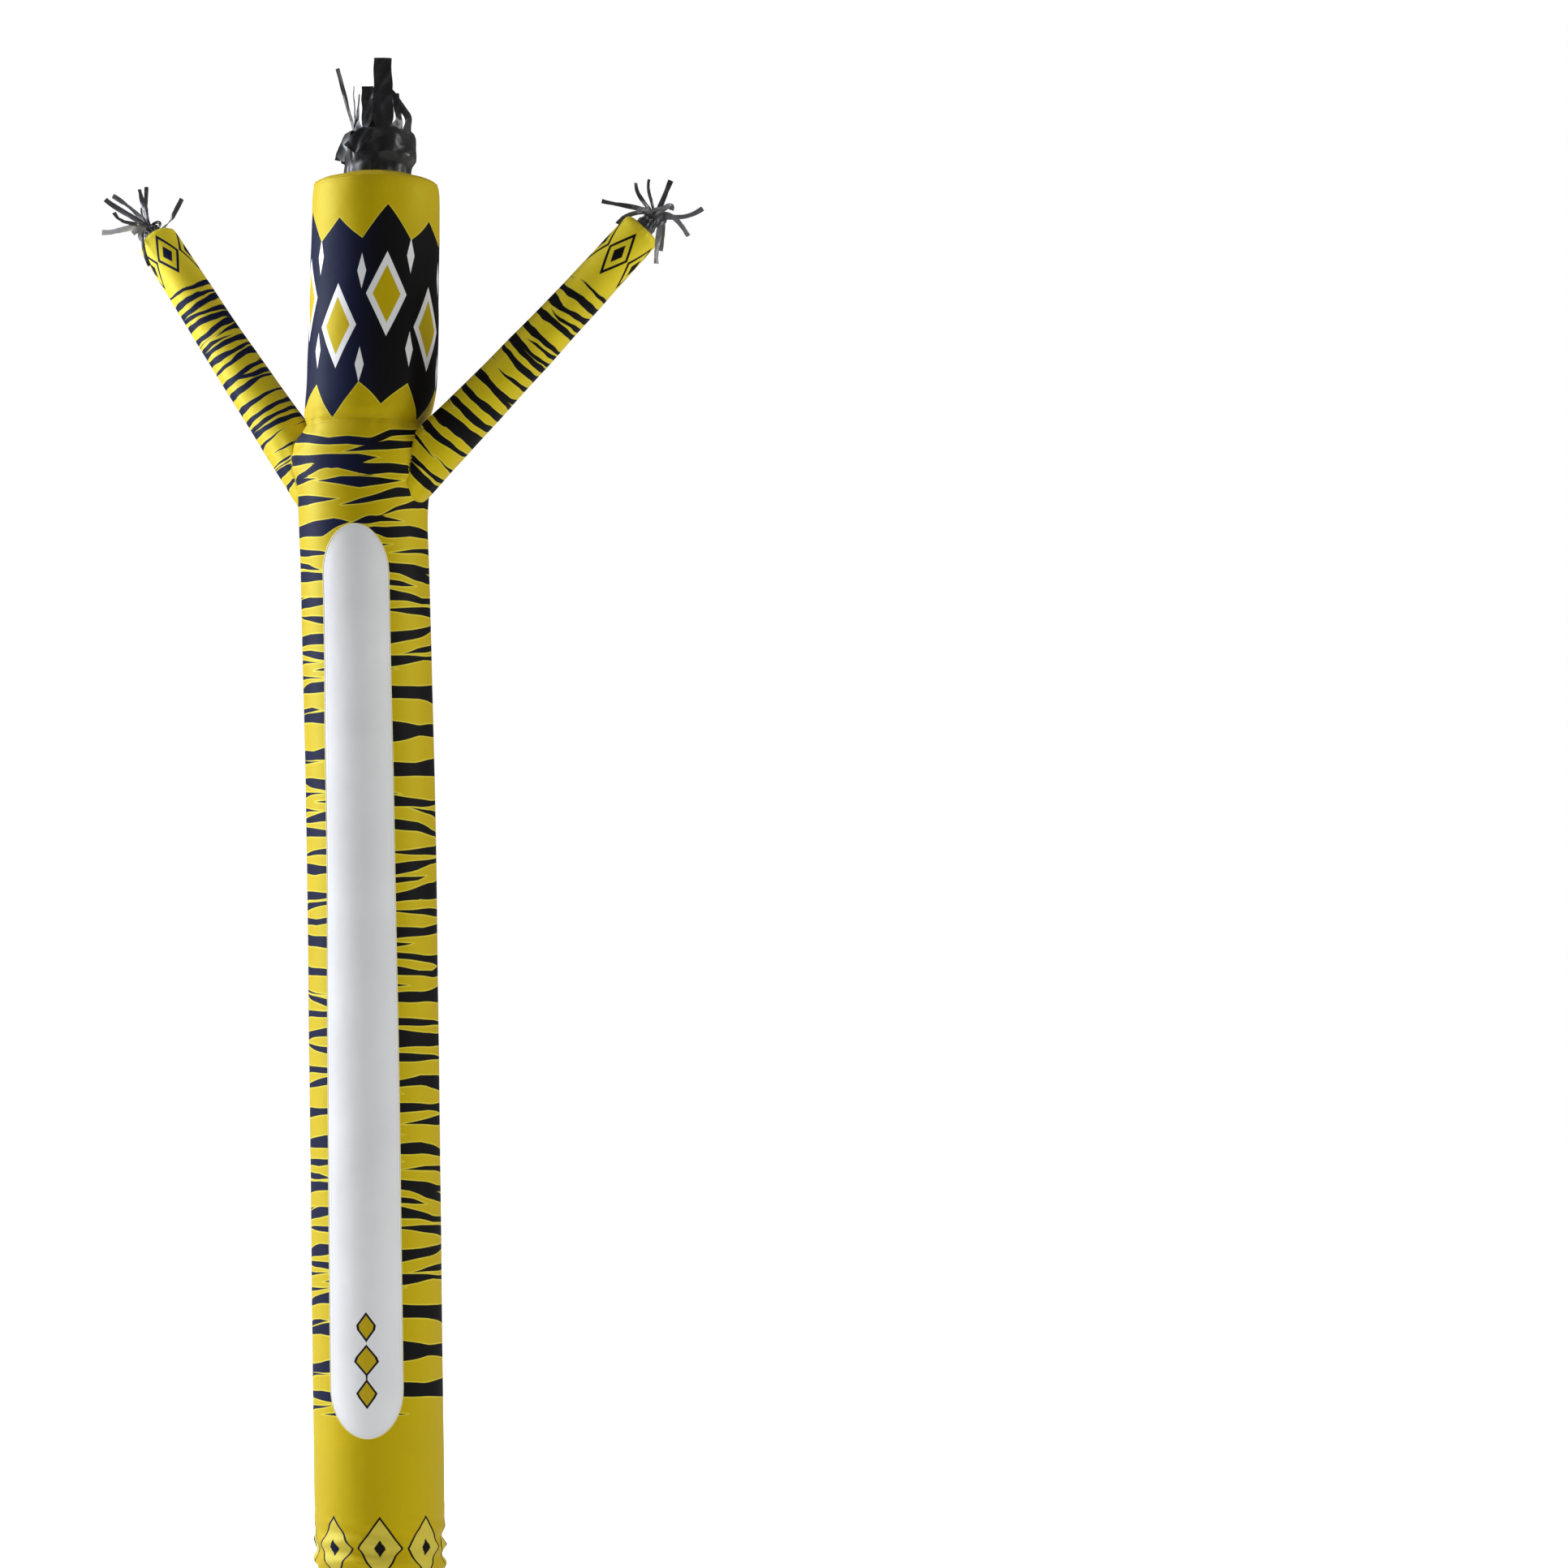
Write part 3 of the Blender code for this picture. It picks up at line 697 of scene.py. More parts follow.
@dataclass
class StitchRow:
    """Rows of lockstitches, each a short bead of thread that dips into the cloth at both ends."""

    name: str
    thread: Material
    length: float = 0.0062
    pitch: float = 0.0085
    radius: float = 0.00065
    sides: int = 6

    def bead(self) -> tuple[Array, list[list[int]]]:
        """Models one stitch along X, with its middle at the origin.

        Returns:
            Its points and its faces.
        """
        start_clean()
        bpy.ops.mesh.primitive_cylinder_add(
            vertices=self.sides, radius=self.radius, depth=self.length, rotation=(0, math.pi / 2, 0)
        )
        bead = bpy.context.object
        bpy.ops.object.transform_apply(location=False, rotation=True, scale=False)
        edit_all(bead, bpy.ops.mesh.bisect, plane_co=(0, 0, 0), plane_no=(1, 0, 0))
        shape = np.array([v.co for v in bead.data.vertices])
        shape[:, 2] -= np.abs(shape[:, 0]) ** 2 / self.length * 0.9
        faces = [list(p.vertices) for p in bead.data.polygons]
        bpy.data.objects.remove(bead)
        return shape, faces

    def make(self, lines: Sequence[Line]) -> None:
        """Sews along some lines and finishes the one mesh that every stitch is in.

        Args:
            lines: The lines.
        """
        shape, faces = self.bead()
        points, polygons = [], []
        for line in lines:
            for middle, run, up in self.spaced(*line):
                start = len(points) * len(shape)
                points.append(middle + shape @ np.stack([run, np.cross(up, run), up]))
                polygons += [[start + k for k in face] for face in faces]
        mesh = bpy.data.meshes.new(self.name)
        mesh.from_pydata(np.concatenate(points).tolist(), [], polygons)
        mesh.update()
        piece = bpy.data.objects.new(self.name, mesh)
        bpy.context.scene.collection.objects.link(piece)
        finish_piece(piece, self.thread)

    def spaced(self, path: Array, normals: Array, loop: bool) -> list[tuple[Array, Array, Array]]:
        """The middle, direction and outward normal of each stitch.

        Args:
            path: The line's points.
            normals: The outward normals at the points.
            loop: Whether the line's end meets its start.

        Returns:
            One entry for each stitch.
        """
        if loop:
            path, normals = np.vstack([path, path[:1]]), np.vstack([normals, normals[:1]])
        gone = np.r_[0, np.cumsum(np.linalg.norm(np.diff(path, axis=0), axis=1))]
        count = max(2, int(gone[-1] / self.pitch))
        at = (np.arange(count) + 0.5) / count * gone[-1]

        def read(rows: Array, past: float = 0.0) -> Array:
            """The rows' values a little past each stitch's middle."""
            return beside(*(np.interp(at + past, gone, column) for column in rows.T))

        run = unit(read(path, self.length / 2) - read(path, -self.length / 2))
        up = unit(read(normals))
        up = unit(up - run * np.sum(up * run, axis=1, keepdims=True))
        return list(zip(read(path) + up * self.radius * 0.4, run, up))


# ---------------------------------------------------------------- printed stripes


@dataclass(frozen=True)
class StripeChart:
    """Stripes laid on a tube of cloth.

    Each stripe is a run of azimuths, rows and thicknesses, and a thickness of 0 is a pointed tip. A
    stripe that reaches both edges of the front runs round the back as a ring, and one that reaches
    only one edge goes on round the back to a tip. Rows and thicknesses are counted in units, from the
    start and along the cloth, or down it where they fall.
    """

    stripes: Sequence[Sequence[float]]
    unit: float
    start: float
    seed: int
    fall: bool = False
    sag: float = 0.0
    edge: float = 88.0
    cap: float = 0.0060
    floor: float = -0.012
    reach: float = 12.0
    taper: float = 0.0009

    def lines(self) -> list[Array]:
        """Runs the stripes round the back.

        Returns:
            For each stripe its rows of azimuth, place along the cloth and half thickness.
        """
        dice = np.random.default_rng(self.seed)
        made = []
        for stripe in self.stripes:
            points = sorted(np.reshape(stripe, (-1, 3)).tolist())
            left, right = points[0], points[-1]
            on_left = left[0] <= -self.edge and left[2] > 0
            on_right = right[0] >= self.edge and right[2] > 0
            reach, drift, swell = dice.uniform(22, 86), dice.normal(0, 5), dice.uniform(0.7, 1.25)
            if on_left and on_right:
                back = [(left[1] + right[1]) / 2 + drift, (left[2] + right[2]) / 2 * swell]
                points += [[-180.0, *back], [180.0, *back], [left[0] + 360, *left[1:]]]
            elif on_left or on_right:
                (azimuth, row, thickness), way = (left, -1) if on_left else (right, 1)
                points.append([azimuth + way * reach / 2, row + drift / 2, thickness * swell])
                points.append([azimuth + way * reach, row + drift, 0.0])
            table = np.array(sorted(points), float)
            table[:, 1] = self.start + (-1.0 if self.fall else 1.0) * table[:, 1] * self.unit
            table[:, 2] *= self.unit / 2
            made.append(table)
        return made

    def fields(self, azimuth: Array, along: Array, motif: Array) -> dict[str, Array]:
        """How far inside the nearest stripe each place lies, in metres.

        A thin stripe falls between two rows of the cloth, so its two edges are kept apart: each of them
        runs straight through the rows, and the smaller of the two is positive only inside the stripe.
        Every second stripe goes in a set of its own, so that a thin gap between two stripes stays clean.

        Args:
            azimuth: Azimuths in degrees, from -180 to 180.
            along: Places along the cloth, in metres.
            motif: The depths inside the lozenges.

        Returns:
            Every field of the print by its name.
        """
        # Seen from below, a stripe that sags towards the front looks straight
        along = along + self.sag * np.cos(np.radians(azimuth))
        wobble = 0.0011 * np.sin(azimuth * 0.10 + along * 97) + 0.0007 * np.sin(azimuth * 0.17 - along * 61)
        # For both sets the depth and the distances below the upper edge and above the lower one
        found = np.full((2, 3, len(azimuth)), -1.0)
        for number, table in enumerate(self.lines()):
            at, middle, half = table.T
            best = found[number % 2]
            for turned in (azimuth - 360, azimuth, azimuth + 360):
                past = np.maximum(at[0] - turned, turned - at[-1])
                near = past < self.reach
                if not near.any():
                    continue
                aside = np.interp(turned[near], at, middle) - along[near] + wobble[near]
                # Past a tip the half thickness goes on falling, so that the tip ends in a point
                width = np.interp(turned[near], at, half) - np.maximum(past[near], 0) * self.taper
                edges = np.stack([width - np.abs(aside), width + aside, width - aside])
                best[:, near] = np.where(edges[0] > best[0, near], edges, best[:, near])
        depth = np.clip(found[:, 0].max(axis=0), FAR, -FAR)
        return fields_of(*np.clip(found[:, 1:], self.floor, self.cap).reshape(4, -1), depth, motif)


# The height of a row of the body's chart, where the rows start, the last printed one, and how many
# rows further down the print of each flank starts again
ROW_HEIGHT, ROW_TOP, LAST_ROW = 0.0028094, 5.5630, 1752
RIGHT_REPEAT, LEFT_REPEAT = 763, 752
# The length of a row of each sleeve's chart
LEFT_ROW, RIGHT_ROW = 1 / 1596, 1 / 1577
# The height of the eye that the body's chart is drawn for
EYE_HEIGHT = 1.7

# Across the chest
CHEST = (
    (-90, 538, 14, -60, 540, 12, -33, 542.5, 9, -15, 541, 10, 5, 543, 11,
     23, 532, 9, 66, 528.7, 5, 85, 528, 0),
    (-18, 555, 0, -4, 551.6, 5, 20, 547, 12.5, 43, 546, 8, 60, 545, 8, 90, 546, 8),
    (-90, 569, 13, -51, 565.4, 11, -29.6, 568, 18, -5, 565, 14, 12, 562, 0),
    (-20, 572, 10, 4.6, 577, 14, 23, 575.7, 12, 41, 578, 11.5, 60, 579, 10, 90, 582, 9),
    (-42, 573.4, 10, -60, 584, 8, -90, 597, 5),
    (-45, 592.5, 0, -20, 591, 9, -3.6, 593, 14, 15, 592, 9, 35, 591, 0),
    (-90, 597, 7, -65, 593, 6, -45, 589, 0), (-90, 619, 13, -60, 617, 12, -40, 615, 7, -23, 614, 0),
    (-20, 621.6, 0, 4.6, 614.8, 8, 20, 609, 10.5, 31, 605.6, 11.5, 50, 606, 9, 70, 612.5, 8, 90, 616, 8),
    (13.8, 634.7, 0, 31, 626, 5, 50, 621, 10, 66, 619.3, 11.5, 90, 623, 12),
    (-90, 658, 13, -60, 654, 17, -39.6, 651.5, 20, -27, 645, 14, -20.5, 643.4, 8, -12, 643, 0),
    (-11, 644.6, 0, 4.6, 640, 10, 15, 638.6, 8, 38, 641.8, 0),
)
# One repeat of the print down the right flank
RIGHT_FLANK = (
    (8, 652, 8, 20, 656, 13, 45, 654, 14, 90, 661, 10), (14, 671, 3, 24.5, 671, 0),
    (24, 681, 0, 50, 679, 5, 90, 680, 9), (20, 699, 11, 50, 703, 14, 70, 704, 9, 90, 704, 8),
    (30, 703, 6, 50, 709, 12, 70, 714, 11, 90, 716, 9), (20, 718, 7, 35, 720, 6, 50, 723, 0),
    (20, 733, 15, 40, 736, 11, 60, 741, 8, 90, 742, 6), (20, 752, 3, 45, 753, 8, 90, 756, 14),
    (20, 787, 15, 45, 783, 12, 90, 774, 7), (33, 807, 0, 50, 803, 5, 90, 799, 10),
    (20, 816, 14, 40, 814, 10, 60, 812, 5, 90, 813, 5), (15, 826, 3, 26, 826, 0),
    (20, 854, 16, 50, 855, 16, 90, 858, 24), (20, 903, 27, 50, 902, 14, 90, 902, 16),
    (20, 950, 17, 45, 950, 17, 90, 947, 24), (15, 980, 3, 26, 980, 0),
    (20, 989, 14, 50, 992, 10, 70, 992, 6, 90, 992, 5), (36, 998, 0, 60, 1003, 5, 90, 1007, 9),
    (20, 1018, 12, 45, 1021, 12, 70, 1029, 8, 90, 1032, 6), (20, 1053, 3, 50, 1052, 8, 90, 1050, 14),
    (20, 1074, 15, 45, 1069, 11, 65, 1064, 6, 90, 1063, 5), (20, 1088, 7, 45, 1085, 5, 56, 1082, 0),
    (20, 1109, 10, 45, 1104, 16, 60, 1097, 12, 90, 1092, 11), (35, 1106, 10, 60, 1105, 12, 90, 1104, 12),
    (20, 1126, 2, 50, 1126, 7, 90, 1128, 11), (20, 1152, 15, 50, 1151, 10, 90, 1146, 12),
    (20, 1167, 6, 38, 1165, 0), (20, 1180, 7, 50, 1184, 8, 90, 1187, 15),
    (20, 1199, 11, 45, 1202, 7, 65, 1203, 8, 90, 1198, 14), (20, 1217, 4, 33, 1217, 0),
    (20, 1232, 12, 50, 1231, 13, 90, 1228, 21), (20, 1262, 11, 55, 1263, 7, 90, 1264, 3.5),
    (20, 1283, 23, 50, 1284, 16, 90, 1284, 16), (20, 1306, 12, 55, 1306, 7, 90, 1306, 3.5),
    (20, 1339, 8, 45, 1334, 12, 65, 1335, 14, 90, 1333, 9), (60, 1341, 5, 90, 1343, 8),
    (15, 1350, 3, 25, 1350, 0), (20, 1368, 12, 55, 1367, 8, 90, 1368, 12),
    (26, 1388, 0, 50, 1385, 7, 90, 1382, 14), (15, 1401, 3, 25, 1401, 0),
)
# One repeat of the print down the left flank
LEFT_FLANK = (
    (-90, 682, 8, -60, 683, 9, -40, 682, 5), (-90, 698, 8, -60, 700, 7, -42, 703, 0),
    (-90, 713, 14, -60, 712, 12, -38, 712, 9), (-88, 740, 3, -68, 737, 0),
    (-90, 748, 11, -60, 744, 13, -38, 742, 8), (-90, 762, 1, -60, 764, 6, -38, 766, 9),
    (-90, 794, 11, -60, 790, 14, -38, 789, 12), (-90, 806, 4, -60, 808, 8, -38, 811, 10),
    (-90, 819, 6, -46, 818, 0), (-55, 829, 0, -38, 827, 5), (-90, 838, 6, -42, 837, 0),
    (-90, 855, 6, -60, 850, 12, -38, 848, 15), (-90, 880, 7, -60, 877, 5, -48, 877, 0),
    (-90, 889, 9, -60, 887, 12, -38, 887, 17), (-90, 934, 11, -60, 934, 12, -38, 931, 16),
    (-90, 942, 5, -48, 942, 0), (-90, 965, 6, -60, 968, 12, -38, 971, 13), (-90, 983, 7, -42, 980, 0),
    (-58, 991, 0, -38, 991, 4), (-90, 1002, 6, -48, 1002, 0), (-90, 1015, 5, -60, 1012, 9, -38, 1008, 14),
    (-90, 1028, 12, -38, 1030, 9), (-90, 1057, 2, -38, 1052, 9),
    (-90, 1073, 12, -60, 1075, 13, -38, 1075, 9), (-90, 1107, 13, -38, 1107, 6),
    (-90, 1122, 9, -60, 1118, 7, -38, 1115, 4), (-90, 1138, 9, -60, 1140, 8, -38, 1136, 7),
    (-90, 1161, 13, -38, 1165, 15), (-90, 1199, 12, -38, 1202, 7), (-90, 1224, 4, -44, 1229, 0),
    (-90, 1229, 2, -60, 1235, 8, -38, 1241, 10), (-90, 1252, 9, -38, 1253, 7),
    (-90, 1280, 9, -38, 1274, 10), (-90, 1289, 3, -38, 1299, 9), (-90, 1320, 9, -38, 1322, 7),
    (-90, 1342, 5, -38, 1334, 11), (-90, 1374, 12, -38, 1372, 8), (-90, 1412, 10, -38, 1409, 17),
)
# Round the left sleeve, from its root outwards
LEFT_SLEEVE = (
    (-90, -157, 30, -40, -150, 26), (-90, -46, 60, -35, -62, 50), (-90, -8, 6, -20, -30, 10),
    (-90, 6, 8, -60, 4, 10, -20, -8, 18), (-90, 85, 10, -70, 92, 0), (-55, 80, 0, -20, 66, 12, 8, 50, 22),
    (-90, 162, 34, -40, 166, 18, 11, 171, 0), (20, 165, 0, 90, 148, 16),
    (-90, 252, 42, -12, 238, 36, 30, 225, 36, 90, 211, 42),
    (-90, 285, 36, -12, 285, 30, 20, 283, 24, 90, 276, 30), (-90, 343, 42, -12, 345, 30, 90, 346, 32),
    (-90, 435, 50, -19, 435, 36, 8, 436, 24, 90, 435, 10),
    (-90, 550, 50, -12, 550, 45, 24, 560, 25, 90, 548, 10),
    (-90, 633, 32, -19, 628, 30, 15, 595, 35, 90, 590, 40),
    (-90, 648, 30, -19, 642, 28, 15, 650, 35, 47, 655, 28, 90, 655, 20), (35, 665, 0, 90, 682, 15),
    (-90, 735, 15, -12, 740, 30, 32, 760, 45, 90, 755, 65),
    (-90, 818, 40, -32, 810, 45, 8, 800, 30, 90, 812, 15), (-90, 874, 40, -28, 880, 30, 90, 860, 50),
    (-90, 906, 38, -32, 920, 30, 32, 905, 0), (-90, 950, 8, 8, 960, 0),
    (-90, 988, 35, -19, 987, 36, 15, 1003, 42, 90, 1005, 52),
    (-12, 945, 0, 15, 948, 14, 37, 952, 30, 90, 955, 56),
    (-90, 1088, 45, -19, 1088, 40, 15, 1070, 45, 90, 1045, 48),
    (-90, 1155, 32, -32, 1145, 28, -12, 1135, 25, 15, 1122, 26, 90, 1094, 52),
    (-90, 1183, 36, -32, 1186, 36, -12, 1190, 40, 90, 1203, 50),
    (-90, 1255, 40, -19, 1260, 45, 15, 1255, 35, 24, 1248, 28, 90, 1240, 18),
    (-90, 1340, 12, -19, 1335, 22, 15, 1315, 32, 90, 1307, 45),
)
# Round the right sleeve, from its root outwards
RIGHT_SLEEVE = (
    (-90, 135, 35, -26, 80, 55, 26, 70, 50, 90, 65, 50),
    (-40, 122, 0, -17, 120, 30, 17, 120, 20, 90, 125, 30), (-90, 212, 22, -26, 210, 18, 17, 200, 0),
    (11, 212, 0, 90, 200, 22), (-90, 258, 6, -40, 258, 0),
    (-90, 300, 50, -17, 298, 45, 26, 312, 30, 90, 322, 18), (-63, 358, 0, -42, 360, 6, -17, 364, 8),
    (-90, 385, 57, -17, 405, 80, 26, 415, 75, 90, 415, 90), (-90, 480, 8, -34, 472, 0),
    (-90, 505, 30, -17, 508, 45, 26, 505, 45, 90, 520, 40),
    (-90, 597, 35, -17, 592, 40, 26, 600, 45, 90, 600, 48),
    (-90, 696, 34, -26, 701, 30, 4, 699, 24, 31, 692, 28, 90, 680, 30),
    (-90, 713, 36, -26, 718, 32, 4, 711, 24, 31, 711, 26, 90, 722, 35), (-90, 825, 8, -42, 822, 0),
    (-29, 798, 0, 4, 803, 15, 36, 810, 25, 90, 815, 30),
    (-90, 905, 22, -26, 900, 30, 4, 890, 40, 90, 893, 42),
    (-90, 965, 36, -31, 962, 34, 4, 957, 33, 90, 957, 36),
    (-90, 996, 36, -31, 988, 30, 17, 985, 20, 90, 1000, 25), (-26, 1030, 0, 4, 1040, 15, 90, 1050, 30),
    (-90, 1080, 45, -17, 1080, 40, 26, 1085, 30, 90, 1085, 20),
    (-90, 1185, 40, -26, 1190, 45, 13, 1200, 35, 90, 1200, 35),
    (-36, 1240, 0, 4, 1230, 18, 42, 1250, 25, 90, 1250, 35),
    (-90, 1290, 68, -42, 1285, 60, -13, 1280, 30, 17, 1300, 30, 90, 1322, 45),
    (-90, 1365, 28, -26, 1375, 40, 8, 1390, 45, 90, 1387, 45), (-90, 1445, 6, -45, 1445, 0),
    (-31, 1472, 0, 4, 1470, 14, 90, 1467, 28),
)


def repeated(stripes: Sequence[Sequence[float]], repeat: float) -> list[Array]:
    """The stripes and their repeats, so many rows apart, as far as the last row."""
    down = [np.reshape(stripe, (-1, 3)) + (0, turn * repeat, 0) for turn in range(3) for stripe in stripes]
    return [rows.ravel() for rows in down if rows[:, 1].max() <= LAST_ROW]


BODY_STRIPES = [*CHEST, *repeated(RIGHT_FLANK, RIGHT_REPEAT), *repeated(LEFT_FLANK, LEFT_REPEAT)]
BODY_CHART = StripeChart(BODY_STRIPES, ROW_HEIGHT, ROW_TOP, seed=5, fall=True)
SLEEVE_CHARTS = {
    "left": StripeChart(LEFT_SLEEVE, LEFT_ROW, 66 * LEFT_ROW, seed=7, sag=0.034),
    "right": StripeChart(RIGHT_SLEEVE, RIGHT_ROW, -119 * RIGHT_ROW, seed=8),
}


def lozenge(across: Array, along: Array, half_width: float, half_length: float) -> Array:
    """How far inside its nearest edge places so far across and along a lozenge are."""
    slope = math.hypot(half_width, half_length) / (half_width * half_length)
    return (1 - np.abs(across) / half_width - np.abs(along) / half_length) / slope


@dataclass(frozen=True)
class LozengeRing:
    """Lozenges side by side round a tube, which together fill a share of its girth."""

    count: int
    middle: float
    half_length: float
    radius: float
    fill: float

    def depth(self, turn: Array, along: Array) -> Array:
        """Depth inside the nearest lozenge.

        Args:
            turn: Azimuths in degrees.
            along: Places along the tube.

        Returns:
            The depths, in metres.
        """
        pitch = 360 / self.count
        aside = np.radians((turn + pitch / 2) % pitch - pitch / 2) * self.radius
        half_width = math.radians(pitch) * self.radius * self.fill
        return np.clip(lozenge(aside, along - self.middle, half_width, self.half_length), FAR, 0.05)


# ---------------------------------------------------------------- the inflated body's form


@dataclass(frozen=True)
class ArmSize:
    """Where a sleeve leaves the body, and which way it points."""

    side: str
    root_azimuth: float
    root_z: float
    azimuth: float
    elevation: float
    bulge: float
    stretch: float
    seed: int


# The left sleeve is a little slack, so that its cloth reaches 2% less far
ARMS = (
    ArmSize("left", -110.0, 3.995, -128.4, 51.5, 0.036, 0.98, 21),
    ArmSize("right", 64.0, 3.979, 75.0, 45.5, 0.028, 1.0, 22),
)


@dataclass
class BodyForm:
    """The round form that the air gives the body tube and the head."""

    radius: float = 0.2265
    fold_depth: float = 0.0125
    fold_pitch: float = 0.068
    # Height, radius and how far the middle line has drifted sideways
    stations: SmoothTable = SmoothTable(
        (0.000, 0.2255, 0.0000),
        (0.379, 0.2265, -0.0055),
        (1.055, 0.2265, -0.0175),
        (1.904, 0.2265, -0.0315),
        (2.759, 0.2265, -0.0475),
        (3.274, 0.2265, -0.0625),
        (3.620, 0.2265, -0.0730),
        (3.790, 0.2270, -0.0795),
        (3.950, 0.2270, -0.0790),
        (4.060, 0.2260, -0.0755),
        (4.123, 0.2130, -0.0715),
        (4.170, 0.2245, -0.0645),
        (4.253, 0.2300, -0.0536),
        (4.369, 0.2315, -0.0499),
        (4.484, 0.2300, -0.0462),
        (4.658, 0.2280, -0.0442),
        (4.774, 0.2275, -0.0420),
        (4.925, 0.2260, -0.0416),
        (4.956, 0.2240, -0.0415),
        (4.977, 0.2195, -0.0414),
    )

    def middle(self, z: Array) -> Array:
        """Points on the tube's middle line, one row for each height."""
        drift = self.stations(z)[1]
        return beside(HEM_X + drift, np.full_like(drift, HEM_Y), z)

    def hem_folds(self, z: Array, azimuth: Array) -> Array:
        """The crumpled rings above the hem, where the cloth is strapped to the blower.

        Args:
            z: Heights.
            azimuth: Azimuths in degrees.

        Returns:
            How far the cloth stands out.
        """
        a = np.radians(azimuth)
        depth = self.fold_depth * fade(z, 0.0, 0.03) * (1 - fade(z, 0.16, 0.33))
        wave = np.sin(2 * math.pi * z / self.fold_pitch + 1.3 * np.sin(a + 0.6) + 0.7 * np.sin(2 * a - 1.1))
        uneven = 0.65 + 0.35 * np.sin(3 * a + 11 * z)
        return depth * uneven * wave

    def shoulders(self, z: Array, azimuth: Array) -> Array:
        """How far the sleeves' roots pull the cloth out, with creases that run into them.

        Args:
            z: Heights.
            azimuth: Azimuths in degrees.

        Returns:
            How far the cloth stands out.
        """
        pull = np.zeros_like(z)
        for arm in ARMS:
            aside = turn_gap(azimuth, arm.root_azimuth)
            pull += arm.bulge * bell(z - arm.root_z, 0.095) * bell(aside, 45.0)
        return pull * (1 - fade(z, 4.06, NECK_HEIGHT))

    def creases(self, z: Array, azimuth: Array) -> Array:
        """The small wrinkles: gathers at the neck, creases round the sleeves, and long soft dents.

        Args:
            z: Heights.
            azimuth: Azimuths in degrees.

        Returns:
            How far the cloth stands out, within a few millimetres.
        """
        a = np.radians(azimuth)
        near = z - NECK_HEIGHT
        neck = bell(near, 0.042) * np.sin(np.clip(np.abs(near) / 0.012, 0, math.pi / 2))
        gathers = np.sin(17 * a + 2.6 * np.sin(5 * a) + 20 * near) * (0.55 + 0.45 * np.sin(4 * a - 0.7))
        total = 0.0048 * neck * gathers - 0.0042 * bell(near, 0.011)
        total += 0.0022 * bell(near - 0.034, 0.016) * np.sin(3 * a + 0.8)
        for number, arm in enumerate(ARMS):
            aside = np.radians(turn_gap(azimuth, arm.root_azimuth)) * self.radius
            rise = z - arm.root_z
            ray = np.arctan2(rise, aside)
            ring = bell(np.hypot(aside, rise) - 0.135, 0.055)
            spokes = np.sin(9 * ray + 2.0 * np.sin(3 * ray + number) + 1.5 * number)
            total += 0.0030 * ring * spokes * (0.6 + 0.4 * np.sin(2 * ray + 1.0))
        calm = fade(z, 0.35, 0.9) * (1 - fade(z, 3.5, 3.75))
        wild = (1 - fade(z, 0.10, 0.42)) * fade(z, 0, 0.035)
        # Depth, creases' width round the tube and their length up it, and which creases
        for depth, width, length, seed in (
            (0.0011 * (1 - 0.5 * calm), 0.30, 0.62, 11),
            (0.0046 * wild, 0.16, 0.055, 12),
            (0.0012 * fade(z, NECK_HEIGHT, 4.3), 0.22, 0.30, 13),
        ):
            total += depth * crumple(a * self.radius / width, z / length, seed)
        return total

    def reach(self, z: Array, azimuth: Array) -> Array:
        """The tube's radius without its small wrinkles."""
        return self.stations(z)[0] + self.hem_folds(z, azimuth) + self.shoulders(z, azimuth)

    def skin(self, z: Array, azimuth: Array, proud: float | Array = 0.0) -> Array:
        """Points on the body's or the head's cloth, or so far off it."""
        radius = self.reach(z, azimuth) + proud + self.creases(z, azimuth)
        return self.middle(z) + outwards(azimuth) * radius[..., None]

    def outside(self, points: Array) -> Array:
        """How far some points stand off the body's cloth.

        Args:
            points: One row for each point.

        Returns:
            The distances, negative inside the body.
        """
        z = points[:, 2]
        x, y, _ = (points - self.middle(z)).T
        azimuth = np.degrees(np.arctan2(x, -y))
        return np.hypot(x, y) - self.reach(z, azimuth) - self.creases(z, azimuth)


